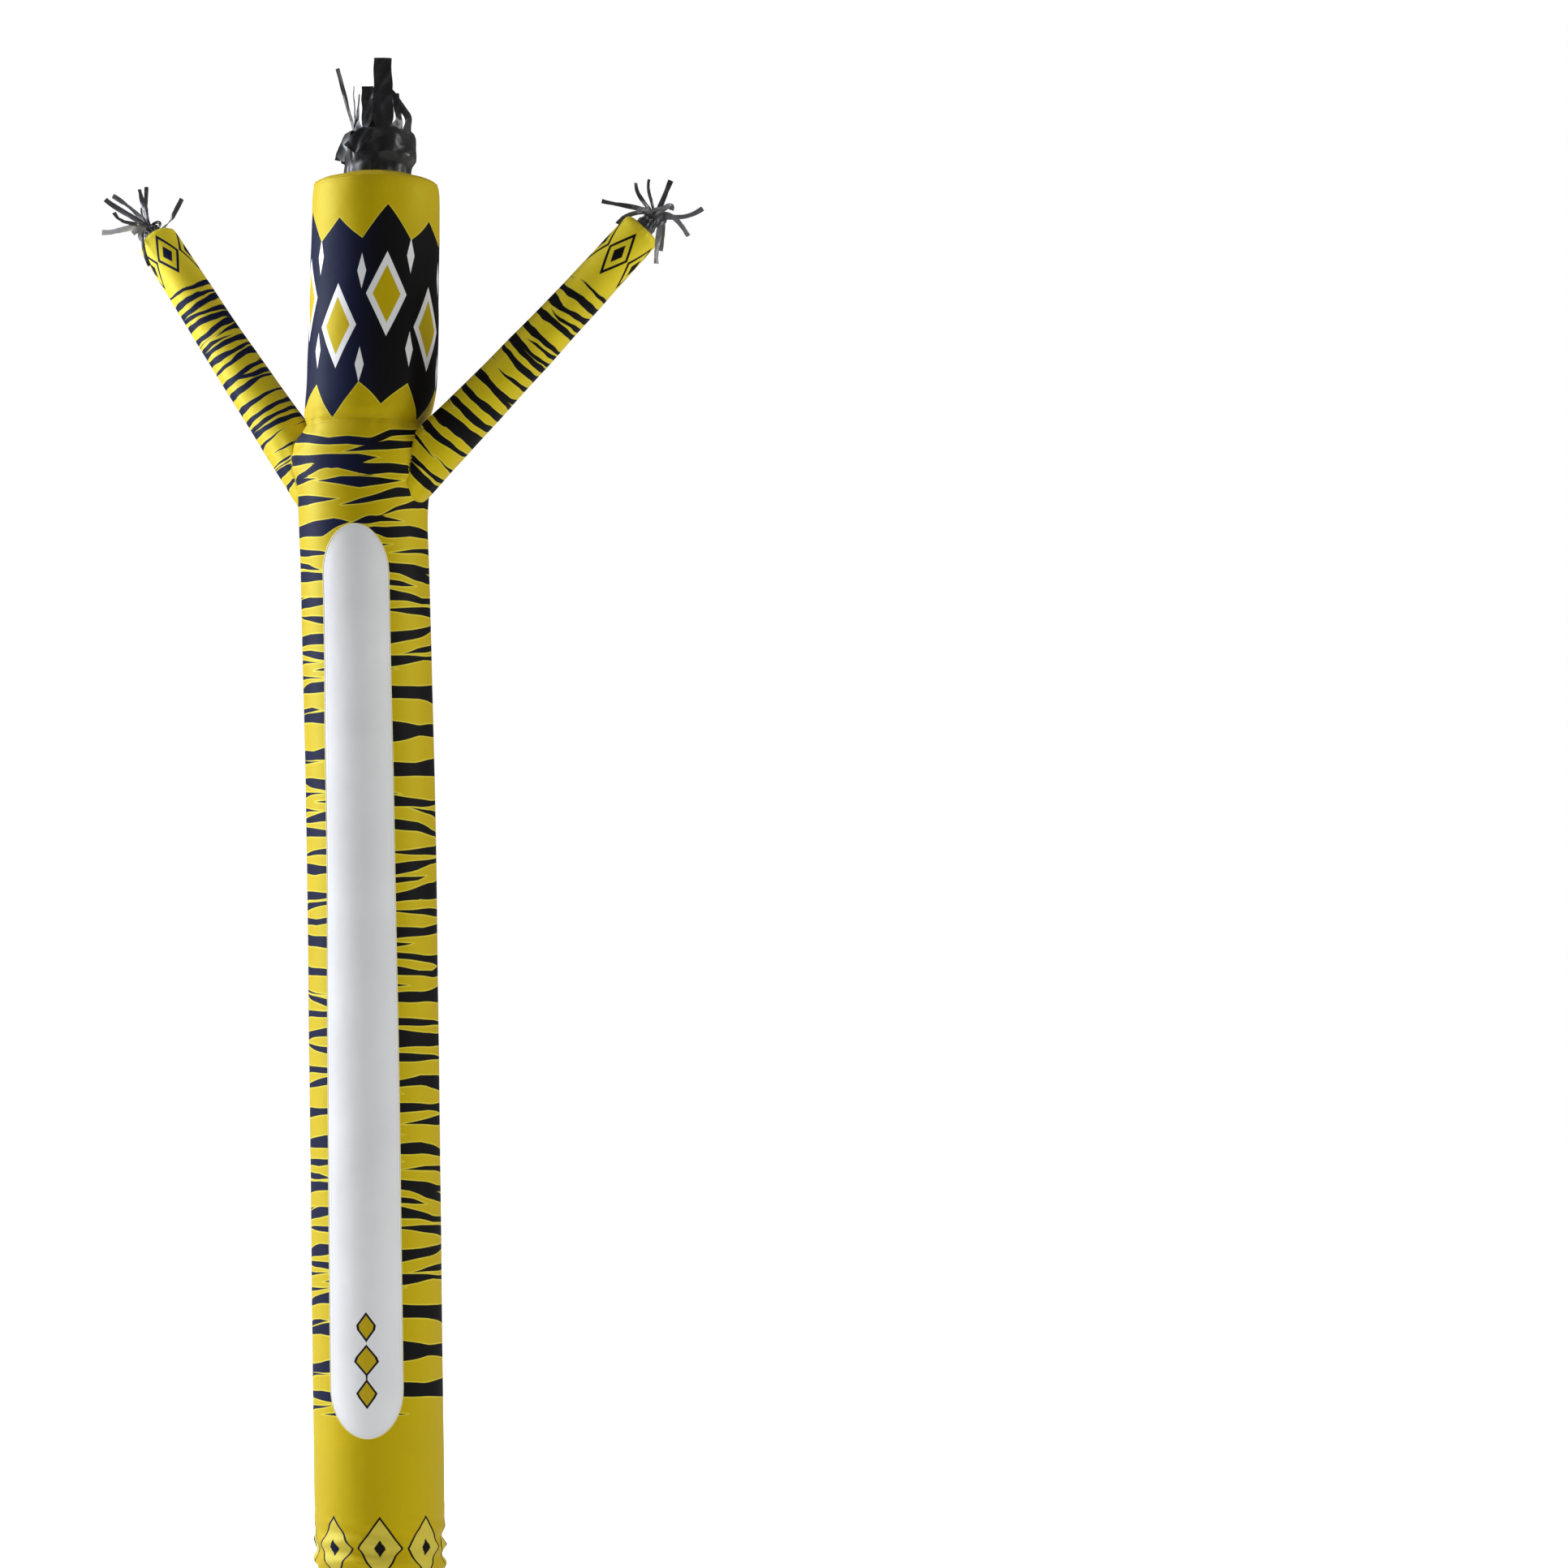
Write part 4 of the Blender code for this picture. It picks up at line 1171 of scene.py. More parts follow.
@dataclass
class SleeveForm:
    """The tapered form of one sleeve, from the body's cloth to the hole in the hand."""

    size: ArmSize
    body: BodyForm
    length: float = 1.135
    root_radius: float = 0.098
    tip_radius: float = 0.0735
    bow: float = -0.006
    bend: float = 1.09
    cloth_end: float = 1.1623
    # Length along the cloth, how far out it lies, and the share of the tip's radius
    profile: SmoothTable = SmoothTable(
        (1.0900, 1.0900, 1.000),
        (1.1172, 1.1170, 0.985),
        (1.1304, 1.1287, 0.900),
        (1.1451, 1.1350, 0.720),
        (1.1623, 1.1380, 0.490),
    )

    def __post_init__(self) -> None:
        """Works out the sleeve's axes, and by halving where its cloth meets the body's."""
        lift = math.radians(self.size.elevation)
        self.along = outwards(self.size.azimuth) * math.cos(lift) + np.array([0, 0, math.sin(lift)])
        self.edge = unit(np.cross([0.0, 1.0, 0.0], self.along))
        self.face = np.cross(self.edge, self.along)
        self.over = np.cross(self.along, unit(np.cross([0.0, 0.0, 1.0], self.along)))
        root = self.body.middle(np.array([self.size.root_z]))[0]
        self.root = root + outwards(self.size.root_azimuth) * self.body.radius
        self.turns = np.linspace(-180, 180, 241)
        low, high = np.full(self.turns.shape, -0.16), np.full(self.turns.shape, 0.30)
        for _ in range(34):
            half = (low + high) / 2
            inside = self.body.outside(self.ring(half, self.turns, self.radius(half))) < -0.0006
            low, high = np.where(inside, half, low), np.where(inside, high, half)
        self.roots = high

    def radius(self, reach: Array) -> Array:
        """The sleeve's radius at some distances along it."""
        share = np.clip(reach / self.length, 0, 1)
        return self.tip_radius + (self.root_radius - self.tip_radius) * (1 - share) ** 1.5

    def axis(self, reach: Array) -> Array:
        """Points on the straight line that the sleeve follows."""
        return self.root + (reach * self.size.stretch)[..., None] * self.along

    def ring(self, reach: Array, turn: Array, radius: Array) -> Array:
        """Points round the sleeve's middle line.

        Args:
            reach: Distances along the sleeve.
            turn: Angles round it in degrees, 0 towards the front.
            radius: Distances from the middle line.

        Returns:
            One row for each point.
        """
        share = np.clip(reach / self.length, 0, 1)
        middle = self.axis(reach) + (self.bow * np.sin(math.pi * share))[..., None] * self.over
        angle = np.radians(turn)[..., None]
        return middle + (self.face * np.cos(angle) + self.edge * np.sin(angle)) * radius[..., None]

    def root_at(self, turn: Array) -> Array:
        """How far along the middle line the cloth meets the body."""
        return np.interp(turn, self.turns, self.roots)

    def cloth(self, length: Array, turn: Array, proud: float = 0.0) -> Array:
        """Points on the sleeve's cloth, none of them inside the body.

        Args:
            length: Distances along the middle line, and past the bend at the hand along the cloth.
            turn: Angles round it in degrees.
            proud: How far off the cloth.

        Returns:
            One row for each place.
        """
        reach = np.maximum(length, self.root_at(turn))
        past = length > self.bend
        bent, share = self.profile(np.maximum(length, self.bend))
        radius = np.where(past, self.tip_radius * share, self.radius(reach))
        creases = self.wrinkles(reach - self.root_at(turn), length, turn)
        return self.ring(np.where(past, bent, reach), turn, radius + proud + creases)

    def wrinkles(self, gone: Array, length: Array, turn: Array) -> Array:
        """Creases that run out of the root, gathers at the hand, and soft dents.

        Args:
            gone: Distances from the root.
            length: Distances along the sleeve.
            turn: Angles round it in degrees.

        Returns:
            How far the cloth stands out.
        """
        angle, seed = np.radians(turn), self.size.seed
        spokes = np.sin(9 * angle + 2.0 * np.sin(2 * angle + seed) + 9 * gone)
        root = 0.0024 * bell(gone - 0.05, 0.055) * spokes
        hand = 0.0016 * fade(length, 1.10, 1.14) * np.sin(17 * angle + 1.5 * np.sin(3 * angle))
        dents = crumple(angle * SLEEVE_RADIUS / 0.16, length / 0.34, seed)
        soft = 0.0009 * fade(gone, 0.02, 0.12) * dents
        return (root * fade(gone, 0, 0.012) + hand + soft) * (1 - fade(length, 1.155, 1.162))


# ---------------------------------------------------------------- the pieces


@dataclass
class BodyTube:
    """The long printed tube from the hem up to the neck, with a hole for each sleeve."""

    form: BodyForm
    finishes: Finishes
    sleeves: tuple[SleeveForm, ...]
    lozenges: LozengeRing = LozengeRing(count=8, middle=0.205, half_length=0.105, radius=0.2265, fill=0.44)
    hole_margin: float = 0.016
    spread: float = 0.01276

    def heights(self) -> Array:
        """Rows close together where the print or the folds need them."""
        folds, plain = np.arange(0, 0.35, 0.006), np.arange(0.35, 0.62, 0.018)
        return np.concatenate([folds, plain, np.linspace(0.62, NECK_HEIGHT, 700)])

    def print_fields(self, turn: Array, z: Array) -> dict[str, Array]:
        """The printed fields, with the chart's heights brought to the side they are on.

        Args:
            turn: Azimuths in degrees.
            z: Heights.

        Returns:
            Every field by its name.
        """
        turn = turn_gap(turn, 0.0)
        # The chart is drawn as seen from the height of an eye, where the sides are further off
        side = 1 - np.cos(np.radians(np.clip(turn, -100, 100)))
        drawn = EYE_HEIGHT + (z - EYE_HEIGHT) / (1 + self.spread * side)
        return BODY_CHART.fields(turn, drawn, self.lozenges.depth(turn, z))

    def hole(self, centres: Array) -> Array:
        """Which faces lie inside the sleeves' roots.

        Args:
            centres: The faces' centres.

        Returns:
            True for those that are cut out.
        """
        cut = np.zeros(len(centres), bool)
        for sleeve in self.sleeves:
            away = centres - sleeve.root
            reach = away @ sleeve.along
            aside = np.linalg.norm(away - reach[:, None] * sleeve.along, axis=1)
            cut |= (aside < sleeve.radius(reach) - self.hole_margin) & (np.abs(reach) < 0.2)
        return cut

    def make(self) -> None:
        """Makes the front and the back half, which meet in the two side seams."""
        self.make_half("body_front_cloth", -90.0, 60)
        self.make_half("body_back_cloth", 90.0, 48)

    def make_half(self, name: str, start: float, columns: int) -> None:
        """Makes one half of the tube, with its cloth standing a little prouder along the hem.

        Args:
            name: The half's name.
            start: The azimuth of its first side seam.
            columns: How many columns of faces it has.
        """

        def turn(u: Array) -> Array:
            """The azimuth of a place across the cloth."""
            return start + u * 180

        cut = Cut(name, columns, self.heights(), printed=lambda u, z: self.print_fields(turn(u), z))
        cloth = cut.make(
            lambda u, z: self.form.skin(z, turn(u), 0.0007 * (1 - fade(z, 0.024, 0.027))),
            weave(math.pi * self.form.radius),
            self.hole,
        )
        finish_piece(cloth, self.finishes.body, ("torso",))


@dataclass
class Head:
    """The head's tube and the domed cap with the hole for the hair."""

    form: BodyForm
    finishes: Finishes
    columns: int = 96
    rows: int = 170
    pitch: float = 45.0
    middle: float = 4.505
    half_length: float = 0.150
    stagger: float = 0.055
    band_low: float = 4.200
    band_high: float = 4.805
    zigzag: float = 0.050
    lean: float = 0.85
    offset: float = 11.25
    hair_offset: float = 0.0055
    rim: float = 0.2192
    hole: float = 0.1188
    # The cap's radius and height, from its seam to its hole
    profile: SmoothTable = SmoothTable.even(
        (0.2192, 4.9776),
        (0.2145, 4.9840),
        (0.1960, 4.9935),
        (0.1680, 5.0010),
        (0.1420, 5.0075),
        (0.1188, 5.0160),
    )

    def print_fields(self, turn: Array, z: Array) -> dict[str, Array]:
        """The dark band with its zigzag edges, and what is printed on it.

        Args:
            turn: Azimuths in degrees.
            z: Heights.

        Returns:
            Every field by its name.
        """
        gone = (turn - self.offset) / self.pitch
        saw = self.zigzag * -(1 - 2 * np.abs(gone % 1 - 0.5) * 2)
        # Both edges rise and fall with the staggered lozenges
        lift = self.stagger * np.cos(math.pi * gone) * 0.4
        over = (self.band_high + saw + lift - z) * self.lean
        under = (z - self.band_low + saw - lift) * self.lean
        none = np.full_like(z, FAR)
        edges = (np.clip(e, FAR, -FAR) for e in (over, under, none, none, np.minimum(over, under)))
        return fields_of(*edges, self.motifs(gone, z))

    def motifs(self, gone: Array, z: Array) -> Array:
        """The rimmed lozenges, and the thin white flashes between them.

        Args:
            gone: How many lozenges round the head each place lies.
            z: Heights.

        Returns:
            The depth inside them.
        """
        width = math.radians(self.pitch) * HEAD_RADIUS
        near, between = np.round(gone), np.floor(gone)
        middle = z - self.middle - np.where(near % 2 == 0, 1.0, -1.0) * self.stagger
        depth = lozenge((gone - near) * width, middle, width * 0.41, self.half_length)
        low = z - self.middle - np.where(between % 2 == 0, 1.0, -1.0) * 0.03
        for rise in (-0.165, 0.165):
            flash = lozenge((gone - between - 0.5) * width, low - rise, 0.016, 0.062)
            depth = np.maximum(depth, flash)
        return np.clip(depth, FAR, 0.05)

    def make(self) -> None:
        """Makes the head's cloth and the cap's."""
        steps = np.linspace(NECK_HEIGHT + 0.0004, HEAD_TOP, self.rows + 1)
        cut = Cut(
            "head_cloth", self.columns, steps, printed=lambda u, z: self.print_fields(around(u), z)
        )
        cloth = cut.make(lambda u, z: self.form.skin(z, around(u)), weave(2 * math.pi * HEAD_RADIUS))
        finish_piece(cloth, self.finishes.head, ("head",))
        cap = Cut("cap_cloth", self.columns, np.linspace(0, 1, 27)).make(
            lambda u, v: self.cap_place(around(u), v), weave(2 * math.pi * 0.17, 0.11)
        )
        finish_piece(cap, self.finishes.cap, ("head_cap",))

    def cap_place(self, turn: Array, share: Array, proud: float = 0.0) -> Array:
        """Points on the cap.

        Args:
            turn: Azimuths in degrees.
            share: From 0 at the cap's seam to 1 at the hole.
            proud: How far above the cloth.

        Returns:
            One row for each place.
        """
        radius, z = self.profile(share)
        points = self.form.middle(np.full_like(z, HEAD_TOP)) + outwards(turn) * radius[..., None]
        points[..., 0] += self.hair_offset * np.clip((self.rim - radius) / (self.rim - self.hole), 0, 1)
        angle = np.radians(turn)
        pucker = 0.0014 * np.sin(19 * angle + 2 * np.sin(4 * angle)) * bell(share - 0.10, 0.10)
        pucker += 0.0016 * np.sin(13 * angle + 1.6 * np.sin(3 * angle)) * bell(share - 0.86, 0.13)
        points[..., 2] = z + pucker * fade(share, 0, 0.05) * (1 - fade(share, 0.97, 1)) + proud
        return points


@dataclass
class BellyPanel:
    """The white panel sewn flat on the front, with its pale binding and its stitches."""

    form: BodyForm
    finishes: Finishes
    foot: float = 0.582
    head: float = 3.751
    end: float = 0.170
    columns: int = 40
    width: float = 0.240
    # The height, half width and half length of each lozenge
    lozenges: tuple[tuple[float, float, float], ...] = (
        (0.735, 0.034, 0.046),
        (0.850, 0.042, 0.050),
        (0.965, 0.034, 0.046),
    )
    # Height, the middle line's place, and half the width, which tapers upwards
    taper: SmoothTable = SmoothTable(
        (0.582, -0.0382, 0.1250),
        (1.070, -0.0382, 0.1243),
        (1.900, -0.0380, 0.1222),
        (2.470, -0.0376, 0.1176),
        (3.030, -0.0362, 0.1162),
        (3.310, -0.0334, 0.1142),
        (3.600, -0.0314, 0.1140),
        (3.751, -0.0312, 0.1140),
    )

    def __post_init__(self) -> None:
        """Works out between which heights the sides are straight."""
        self.low, self.high = self.foot + self.end, self.head - self.end

    def heights(self) -> Array:
        """Rows, closer together round the two ends.

        Returns:
            Their heights.
        """
        bend = np.radians(np.linspace(0, 90, 19))
        straight = np.linspace(self.low, self.high, 182)[1:-1]
        ends = self.low - self.end * np.cos(bend), self.high + self.end * np.sin(bend)
        return np.concatenate([ends[0], straight, ends[1]])

    def side(self, u: Array, z: Array) -> Array:
        """Distance sideways from the panel's middle line, which its round ends make less."""
        past = np.maximum(self.low - z, z - self.high) / self.end
        return (2 * u - 1) * (self.taper(z)[1] * np.sqrt(np.clip(1 - np.clip(past, 0, 1) ** 2, 0, 1)))

    def place(self, side: Array, z: Array, proud: float = 0.0009) -> Array:
        """Points on the panel.

        Args:
            side: Distances sideways from its middle line.
            z: Heights.
            proud: How far off the body's cloth.

        Returns:
            One row for each place.
        """
        across = self.taper(z)[0] + side
        turn = np.degrees(np.arcsin(across / self.form.radius))
        for _ in range(4):
            radius = self.form.stations(z)[0] + self.form.shoulders(z, turn) + proud
            turn = np.degrees(np.arcsin(np.clip(across / radius, -1, 1)))
        return self.form.skin(z, turn, proud)

    def outline(self, inset: float) -> Array:
        """The panel's edge, moved inwards.

        Args:
            inset: How far inwards.

        Returns:
            The distances sideways from the middle line, and the heights.
        """
        bend = np.radians(np.linspace(0, 180, 24))
        rise = (self.end - inset) * np.sin(bend)
        rows = np.linspace(self.low, self.high, 200)[1:-1]
        z = np.concatenate([self.low - rise, rows, self.high + rise, rows[::-1]])
        turned = np.concatenate([-np.cos(bend), np.ones_like(rows), np.cos(bend), -np.ones_like(rows)])
        return np.stack([turned * (self.taper(z)[1] - inset), z])

    def print_fields(self, side: Array, z: Array) -> dict[str, Array]:
        """Three small lozenges in a column at the panel's foot, and no stripes.

        Args:
            side: Distances sideways from the middle line.
            z: Heights.

        Returns:
            Every field by its name.
        """
        none = np.full_like(z, FAR)
        depths = [lozenge(side, z - height, wide, tall) for height, wide, tall in self.lozenges]
        return fields_of(*[none] * 5, np.max([none, *depths], axis=0))

    def make(self) -> None:
        """Makes the panel, its binding and its stitches."""
        cut = Cut("belly_panel_cloth", self.columns, self.heights(), 0.0014, 1.0)
        cut.printed = lambda u, z: self.print_fields(self.side(u, z), z)
        cloth = cut.make(
            lambda u, z: self.place(self.side(u, z), z), lambda u, z: beside(self.side(u, z), z)
        )
        finish_piece(cloth, self.finishes.panel, ("belly_panel",))
        binding = welt("panel_binding", self.place(*self.outline(0.0), 0.0016), 0.0021)
        finish_piece(binding, self.finishes.edging)
        inner = self.outline(0.009)
        line = self.place(*inner, 0.0024)
        normals = unit(line - self.form.middle(inner[1]))
        StitchRow("panel_stitches", self.finishes.white_thread).make([(line, normals, True)])


@dataclass
class Sleeve:
    """One printed sleeve."""

    form: SleeveForm
    finishes: Finishes
    columns: int = 80
    lozenges: LozengeRing = LozengeRing(count=5, middle=1.010, half_length=0.086, radius=0.0755, fill=0.43)

    def make(self) -> None:
        """Makes the sleeve's cloth."""
        side, bend = self.form.size.side, self.form.bend
        plain = np.linspace(self.form.roots.min(), bend, 330)
        steps = np.concatenate([plain, np.linspace(bend, self.form.cloth_end, 19)[1:]])

        def printed(u: Array, s: Array) -> dict[str, Array]:
            """The printed fields."""
            return SLEEVE_CHARTS[side].fields(around(u), s, self.lozenges.depth(around(u), s))

        cloth = Cut(f"sleeve_{side}_cloth", self.columns, steps, printed=printed).make(
            lambda u, s: self.form.cloth(s, around(u)), weave(2 * math.pi * SLEEVE_RADIUS)
        )
        finish_piece(cloth, self.finishes.sleeve, (f"arm_{side}",))


@dataclass(frozen=True)
class HairStrip:
    """One strip of the hair. Lean and bend are its angles outwards low down and further up, in degrees."""

    azimuth: float
    width: float
    tip: float
    length: float
    lean: float
    bend: float
    sway: float
    twist: float


HAIR = tuple(
    HairStrip(*row)
    for row in (
        (10.5, 0.074, 0.062, 0.262, 0, -1, -1, 4),
        (-18.5, 0.042, 0.042, 0.160, 0, 1, 0, -6),
        (-43.5, 0.016, 0.010, 0.142, 12, -9, -2, 30),
        (-51, 0.010, 0.007, 0.168, 4, 2, -1, 40),
        (-53.5, 0.018, 0.016, 0.235, 15, 17, -3, -30),
        (-17, 0.056, 0.056, 0.096, 125, 174, -40, 4),
        (-61, 0.044, 0.042, 0.110, 137, 165, -7, -32),
        (-126, 0.052, 0.046, 0.108, 100, 174, 4, -14),
        (-158, 0.044, 0.040, 0.110, 40, 168, -4, 10),
        (-170, 0.036, 0.032, 0.205, 2, 4, 1, -8),
        (170, 0.050, 0.046, 0.232, -1, 2, -1, 8),
        (147, 0.048, 0.044, 0.118, 36, 168, -5, 12),
        (127, 0.044, 0.040, 0.100, 60, 174, 4, -10),
        (92, 0.026, 0.022, 0.092, -56, -60, 0, -80),
        (64, 0.046, 0.036, 0.235, 16, -42, -9, 110),
        (38, 0.032, 0.026, 0.150, 2, -16, 3, 14),
    )
)


@dataclass
class Hair:
    """The crumpled black tube on the head and the strips that it is slit into."""

    form: BodyForm
    finishes: Finishes
    radius: float = 0.1185
    foot: float = 5.005
    slit: float = 5.148
    band: float = 0.012
    offset: float = 0.0055
    root: float = 0.052
    columns: int = 108
    rows: int = 44
    steps: int = 36

    def middle(self, z: Array) -> Array:
        """Points on the tube's middle line."""
        x, y, _ = self.form.middle(np.full_like(z, HEAD_TOP)).T
        return beside(x + self.offset, y, z)

    def reach(self, z: Array, azimuth: Array, detail: float = 1.0) -> Array:
        """The crumpled tube's radius.

        Args:
            z: Heights.
            azimuth: Azimuths in degrees.
            detail: How much of the fine crumples counts.

        Returns:
            One radius for each place.
        """
        a = np.radians(azimuth)
        loose = fade(z, 5.020, 5.066)
        pushed = 0.026 * bell(z - 5.095, 0.05) * bell(turn_gap(azimuth, 85), 55)
        pushed -= 0.018 * bell(z - 5.150, 0.05) * bell(turn_gap(azimuth, -85), 55)
        folds = 0.0045 * (np.sin(4 * a + 38 * z) + 0.6 * np.sin(7 * a - 52 * z + 1.0))
        fine = 0.0036 * crumple(a * self.radius / 0.13, z / 0.11, 31, 4)
        fine += 0.0007 * crumple(a * 3.2, z / 0.05, 32)
        gathers = 0.0013 * np.sin(21 * a + 2 * np.sin(5 * a)) * (1 - loose) * fade(z, 5.008, 5.018)
        return self.radius + loose * (folds + pushed + detail * fine) + detail * gathers

    def on_tube(self, z: Array, azimuth: Array) -> Array:
        """Points on the crumpled tube."""
        return self.middle(z) + outwards(azimuth) * self.reach(z, azimuth)[..., None]

    def make(self) -> None:
        """Makes the tube and the strips."""
        girth = 2 * math.pi * self.radius
        steps = np.linspace(self.foot, self.slit, self.rows + 1)
        tube = Cut("hair_tube_cloth", self.columns, steps, thickness=0.0022).make(
            lambda u, z: self.on_tube(z, around(u)), weave(girth)
        )
        finish_piece(tube, self.finishes.black, ("hair_tube",), angle=70)
        steps = np.linspace(0, self.band, 4)
        band = Cut("hair_strips_cloth", self.columns, steps, thickness=0.0022).make(
            lambda u, s: self.on_tube(self.slit + 0.0002 + s, around(u)), weave(girth)
        )
        join([band, *(self.strip(number, size) for number, size in enumerate(HAIR))])
        finish_piece(band, self.finishes.black, ("hair_streamers",), angle=70)

    def slits(self, azimuth: float) -> tuple[float, float]:
        """The azimuths of a strip's slits, half way to its neighbours."""
        gaps = [turn_gap(other.azimuth, azimuth) for other in HAIR]
        return azimuth + max(g for g in gaps if g < 0) / 2, azimuth + min(g for g in gaps if g > 0) / 2

    def strip(self, number: int, size: HairStrip) -> Piece:
        """Makes one strip, which runs on out of the tube's own cloth.

        Args:
            number: Which strip, for its own creases.
            size: Its sizes.

        Returns:
            The strip.
        """
        first, last = self.slits(size.azimuth)
        start = np.array([self.slit + 0.0003 + self.band / 2])
        radius = self.reach(start, np.array([size.azimuth]), 0.0)[0] - 0.0015
        out = outwards(size.azimuth)
        side = np.array([-out[1], out[0], 0.0])
        foot = self.middle(start)[0] + out * (radius - size.width**2 / (16 * radius))
        # The strip's middle line, and the ways across it and off it, step by step
        share = np.linspace(0, 1, self.steps + 1)[:, None]
        lean = np.radians(size.lean + (size.bend - size.lean) * fade(share, 0.12, 0.38))
        twist = np.radians(size.twist * fade(share, 0.1, 1.0))
        sway = side * math.tan(math.radians(size.sway))
        along = unit(np.cos(lean) * [0, 0, 1] + out * np.sin(lean) + sway)
        across = side * np.cos(twist) + out * np.sin(twist)
        across = unit(across - along * np.sum(across * along, axis=1, keepdims=True))
        middle = np.cumsum(np.vstack([foot, along[:-1] * size.length / self.steps]), axis=0)
        normal = np.cross(across, along)
        halves = (size.width + (size.tip - size.width) * share[:, 0]) / 2

        def place(u: Array, v: Array) -> Array:
            """The strip's shape: cupped across its width and crumpled along it.

            Args:
                u: Places across the strip, from 0 to 1.
                v: Places along it, from 0 to 1.

            Returns:
                One row for each place.
            """
            row = np.rint(v * self.steps).astype(int)
            wide, half, gone = 2 * u - 1, halves[row], v * size.length
            free = fade(v, 0.02, 0.25)
            edge = half * (1 + 0.05 * free * np.sin(17 * v + number * 2.1 + 3 * (wide > 0)))
            lift = 0.0026 * free * crumple(wide * half / 0.060, gone / 0.090, 40 + number, 3)
            cup = (1 - wide**2) * half**2 / (2 * self.radius) * (1 - 0.5 * free)
            curl = 0.10 * half * free * wide**2 * math.sin(number * 1.7)
            own = middle[row] + across[row] * (wide * edge)[:, None]
            own += normal[row] * (lift + cup + curl)[:, None]
            azimuth = first + u * (last - first)
            rooted = self.on_tube(self.slit + 0.001 + np.minimum(gone, self.root), azimuth)
            rooted += outwards(azimuth) * 0.0006
            loose = fade(gone, 0.2 * self.root, self.root)[:, None]
            return rooted * (1 - loose) + own * loose

        steps = np.linspace(0, 1, self.steps + 1)
        cut = Cut(f"hair_strip_{number}", max(6, int(size.width / 0.005)), steps, 0.0014, 0.0)
        return cut.make(place, weave(size.width, size.length))


@dataclass(frozen=True)
class HandStrip:
    """One strip at a hand: where it ends from the knot, how it leaves the knot and how it comes into its end.

    The first part of a strip can be turned edge-on, by an angle in degrees.
    """

    x: float
    y: float
    z: float
    loft: float
    turn_x: float
    turn_z: float
    width: float
    fading: float = 0.0
    aside: float = 0.0
    edge_on: float = 0.0


HAND_STRIPS = {
    "left": (
        (-0.008, -0.105, -0.136, 0.130, -0.030, 0.050, 0.013),
        (-0.140, -0.050, 0.067, 0.075, 0.030, -0.060, 0.015),
        (-0.186, 0.000, 0.004, 0.080, 0.060, -0.004, 0.021, 0.95),
        (-0.178, 0.040, 0.133, 0.070, 0.060, -0.050, 0.019, 0.05),
        (0.103, -0.034, 0.124, 0.066, -0.050, -0.098, 0.017, 0.0, 0.100, 75.0),
        (-0.057, 0.095, 0.184, 0.070, 0.015, -0.060, 0.017),
        (-0.156, 0.125, 0.164, 0.090, 0.070, -0.040, 0.018, 0.10),
        (-0.036, 0.165, 0.206, 0.080, 0.000, -0.070, 0.015),
        (-0.046, -0.010, 0.094, 0.045, 0.004, -0.040, 0.006),
        (-0.072, -0.052, -0.010, 0.055, 0.020, 0.020, 0.021, 0.45),
        (-0.040, -0.070, -0.036, 0.060, -0.020, 0.024, 0.014, 0.35),
        (-0.020, -0.046, 0.016, 0.095, -0.070, 0.010, 0.008, 0.10),
        (0.022, -0.030, 0.022, 0.060, 0.016, 0.030, 0.012),
    ),
    "right": (
        (0.070, -0.122, 0.020, 0.050, 0.010, 0.040, 0.019, 0.10),
        (0.021, -0.085, -0.161, 0.100, -0.006, 0.080, 0.020, 0.25),
        (0.133, -0.075, -0.061, 0.090, -0.030, 0.050, 0.017, 0.25),
        (-0.003, -0.050, 0.142, 0.060, -0.016, -0.060, 0.011),
        (-0.166, -0.015, 0.071, 0.070, 0.080, -0.020, 0.018),
        (0.189, 0.010, 0.055, 0.060, -0.080, -0.060, 0.018, 0.15),
        (0.039, 0.035, -0.092, 0.090, 0.010, 0.060, 0.023, 0.15),
        (0.080, 0.055, 0.162, 0.060, -0.030, -0.070, 0.019),
        (-0.042, 0.075, 0.156, 0.060, 0.000, -0.070, 0.015),
        (-0.106, 0.105, 0.016, 0.080, 0.030, 0.050, 0.016),
        (0.046, -0.060, -0.010, 0.045, 0.016, 0.030, 0.020, 0.15),
        (-0.036, -0.050, 0.024, 0.045, -0.006, 0.034, 0.018, 0.25),
        (0.024, -0.075, -0.030, 0.075, 0.034, 0.030, 0.016),
        (0.006, -0.040, 0.032, 0.070, 0.040, 0.020, 0.012, 0.20),
    ),
}
HANDS = {side: [HandStrip(*row) for row in rows] for side, rows in HAND_STRIPS.items()}


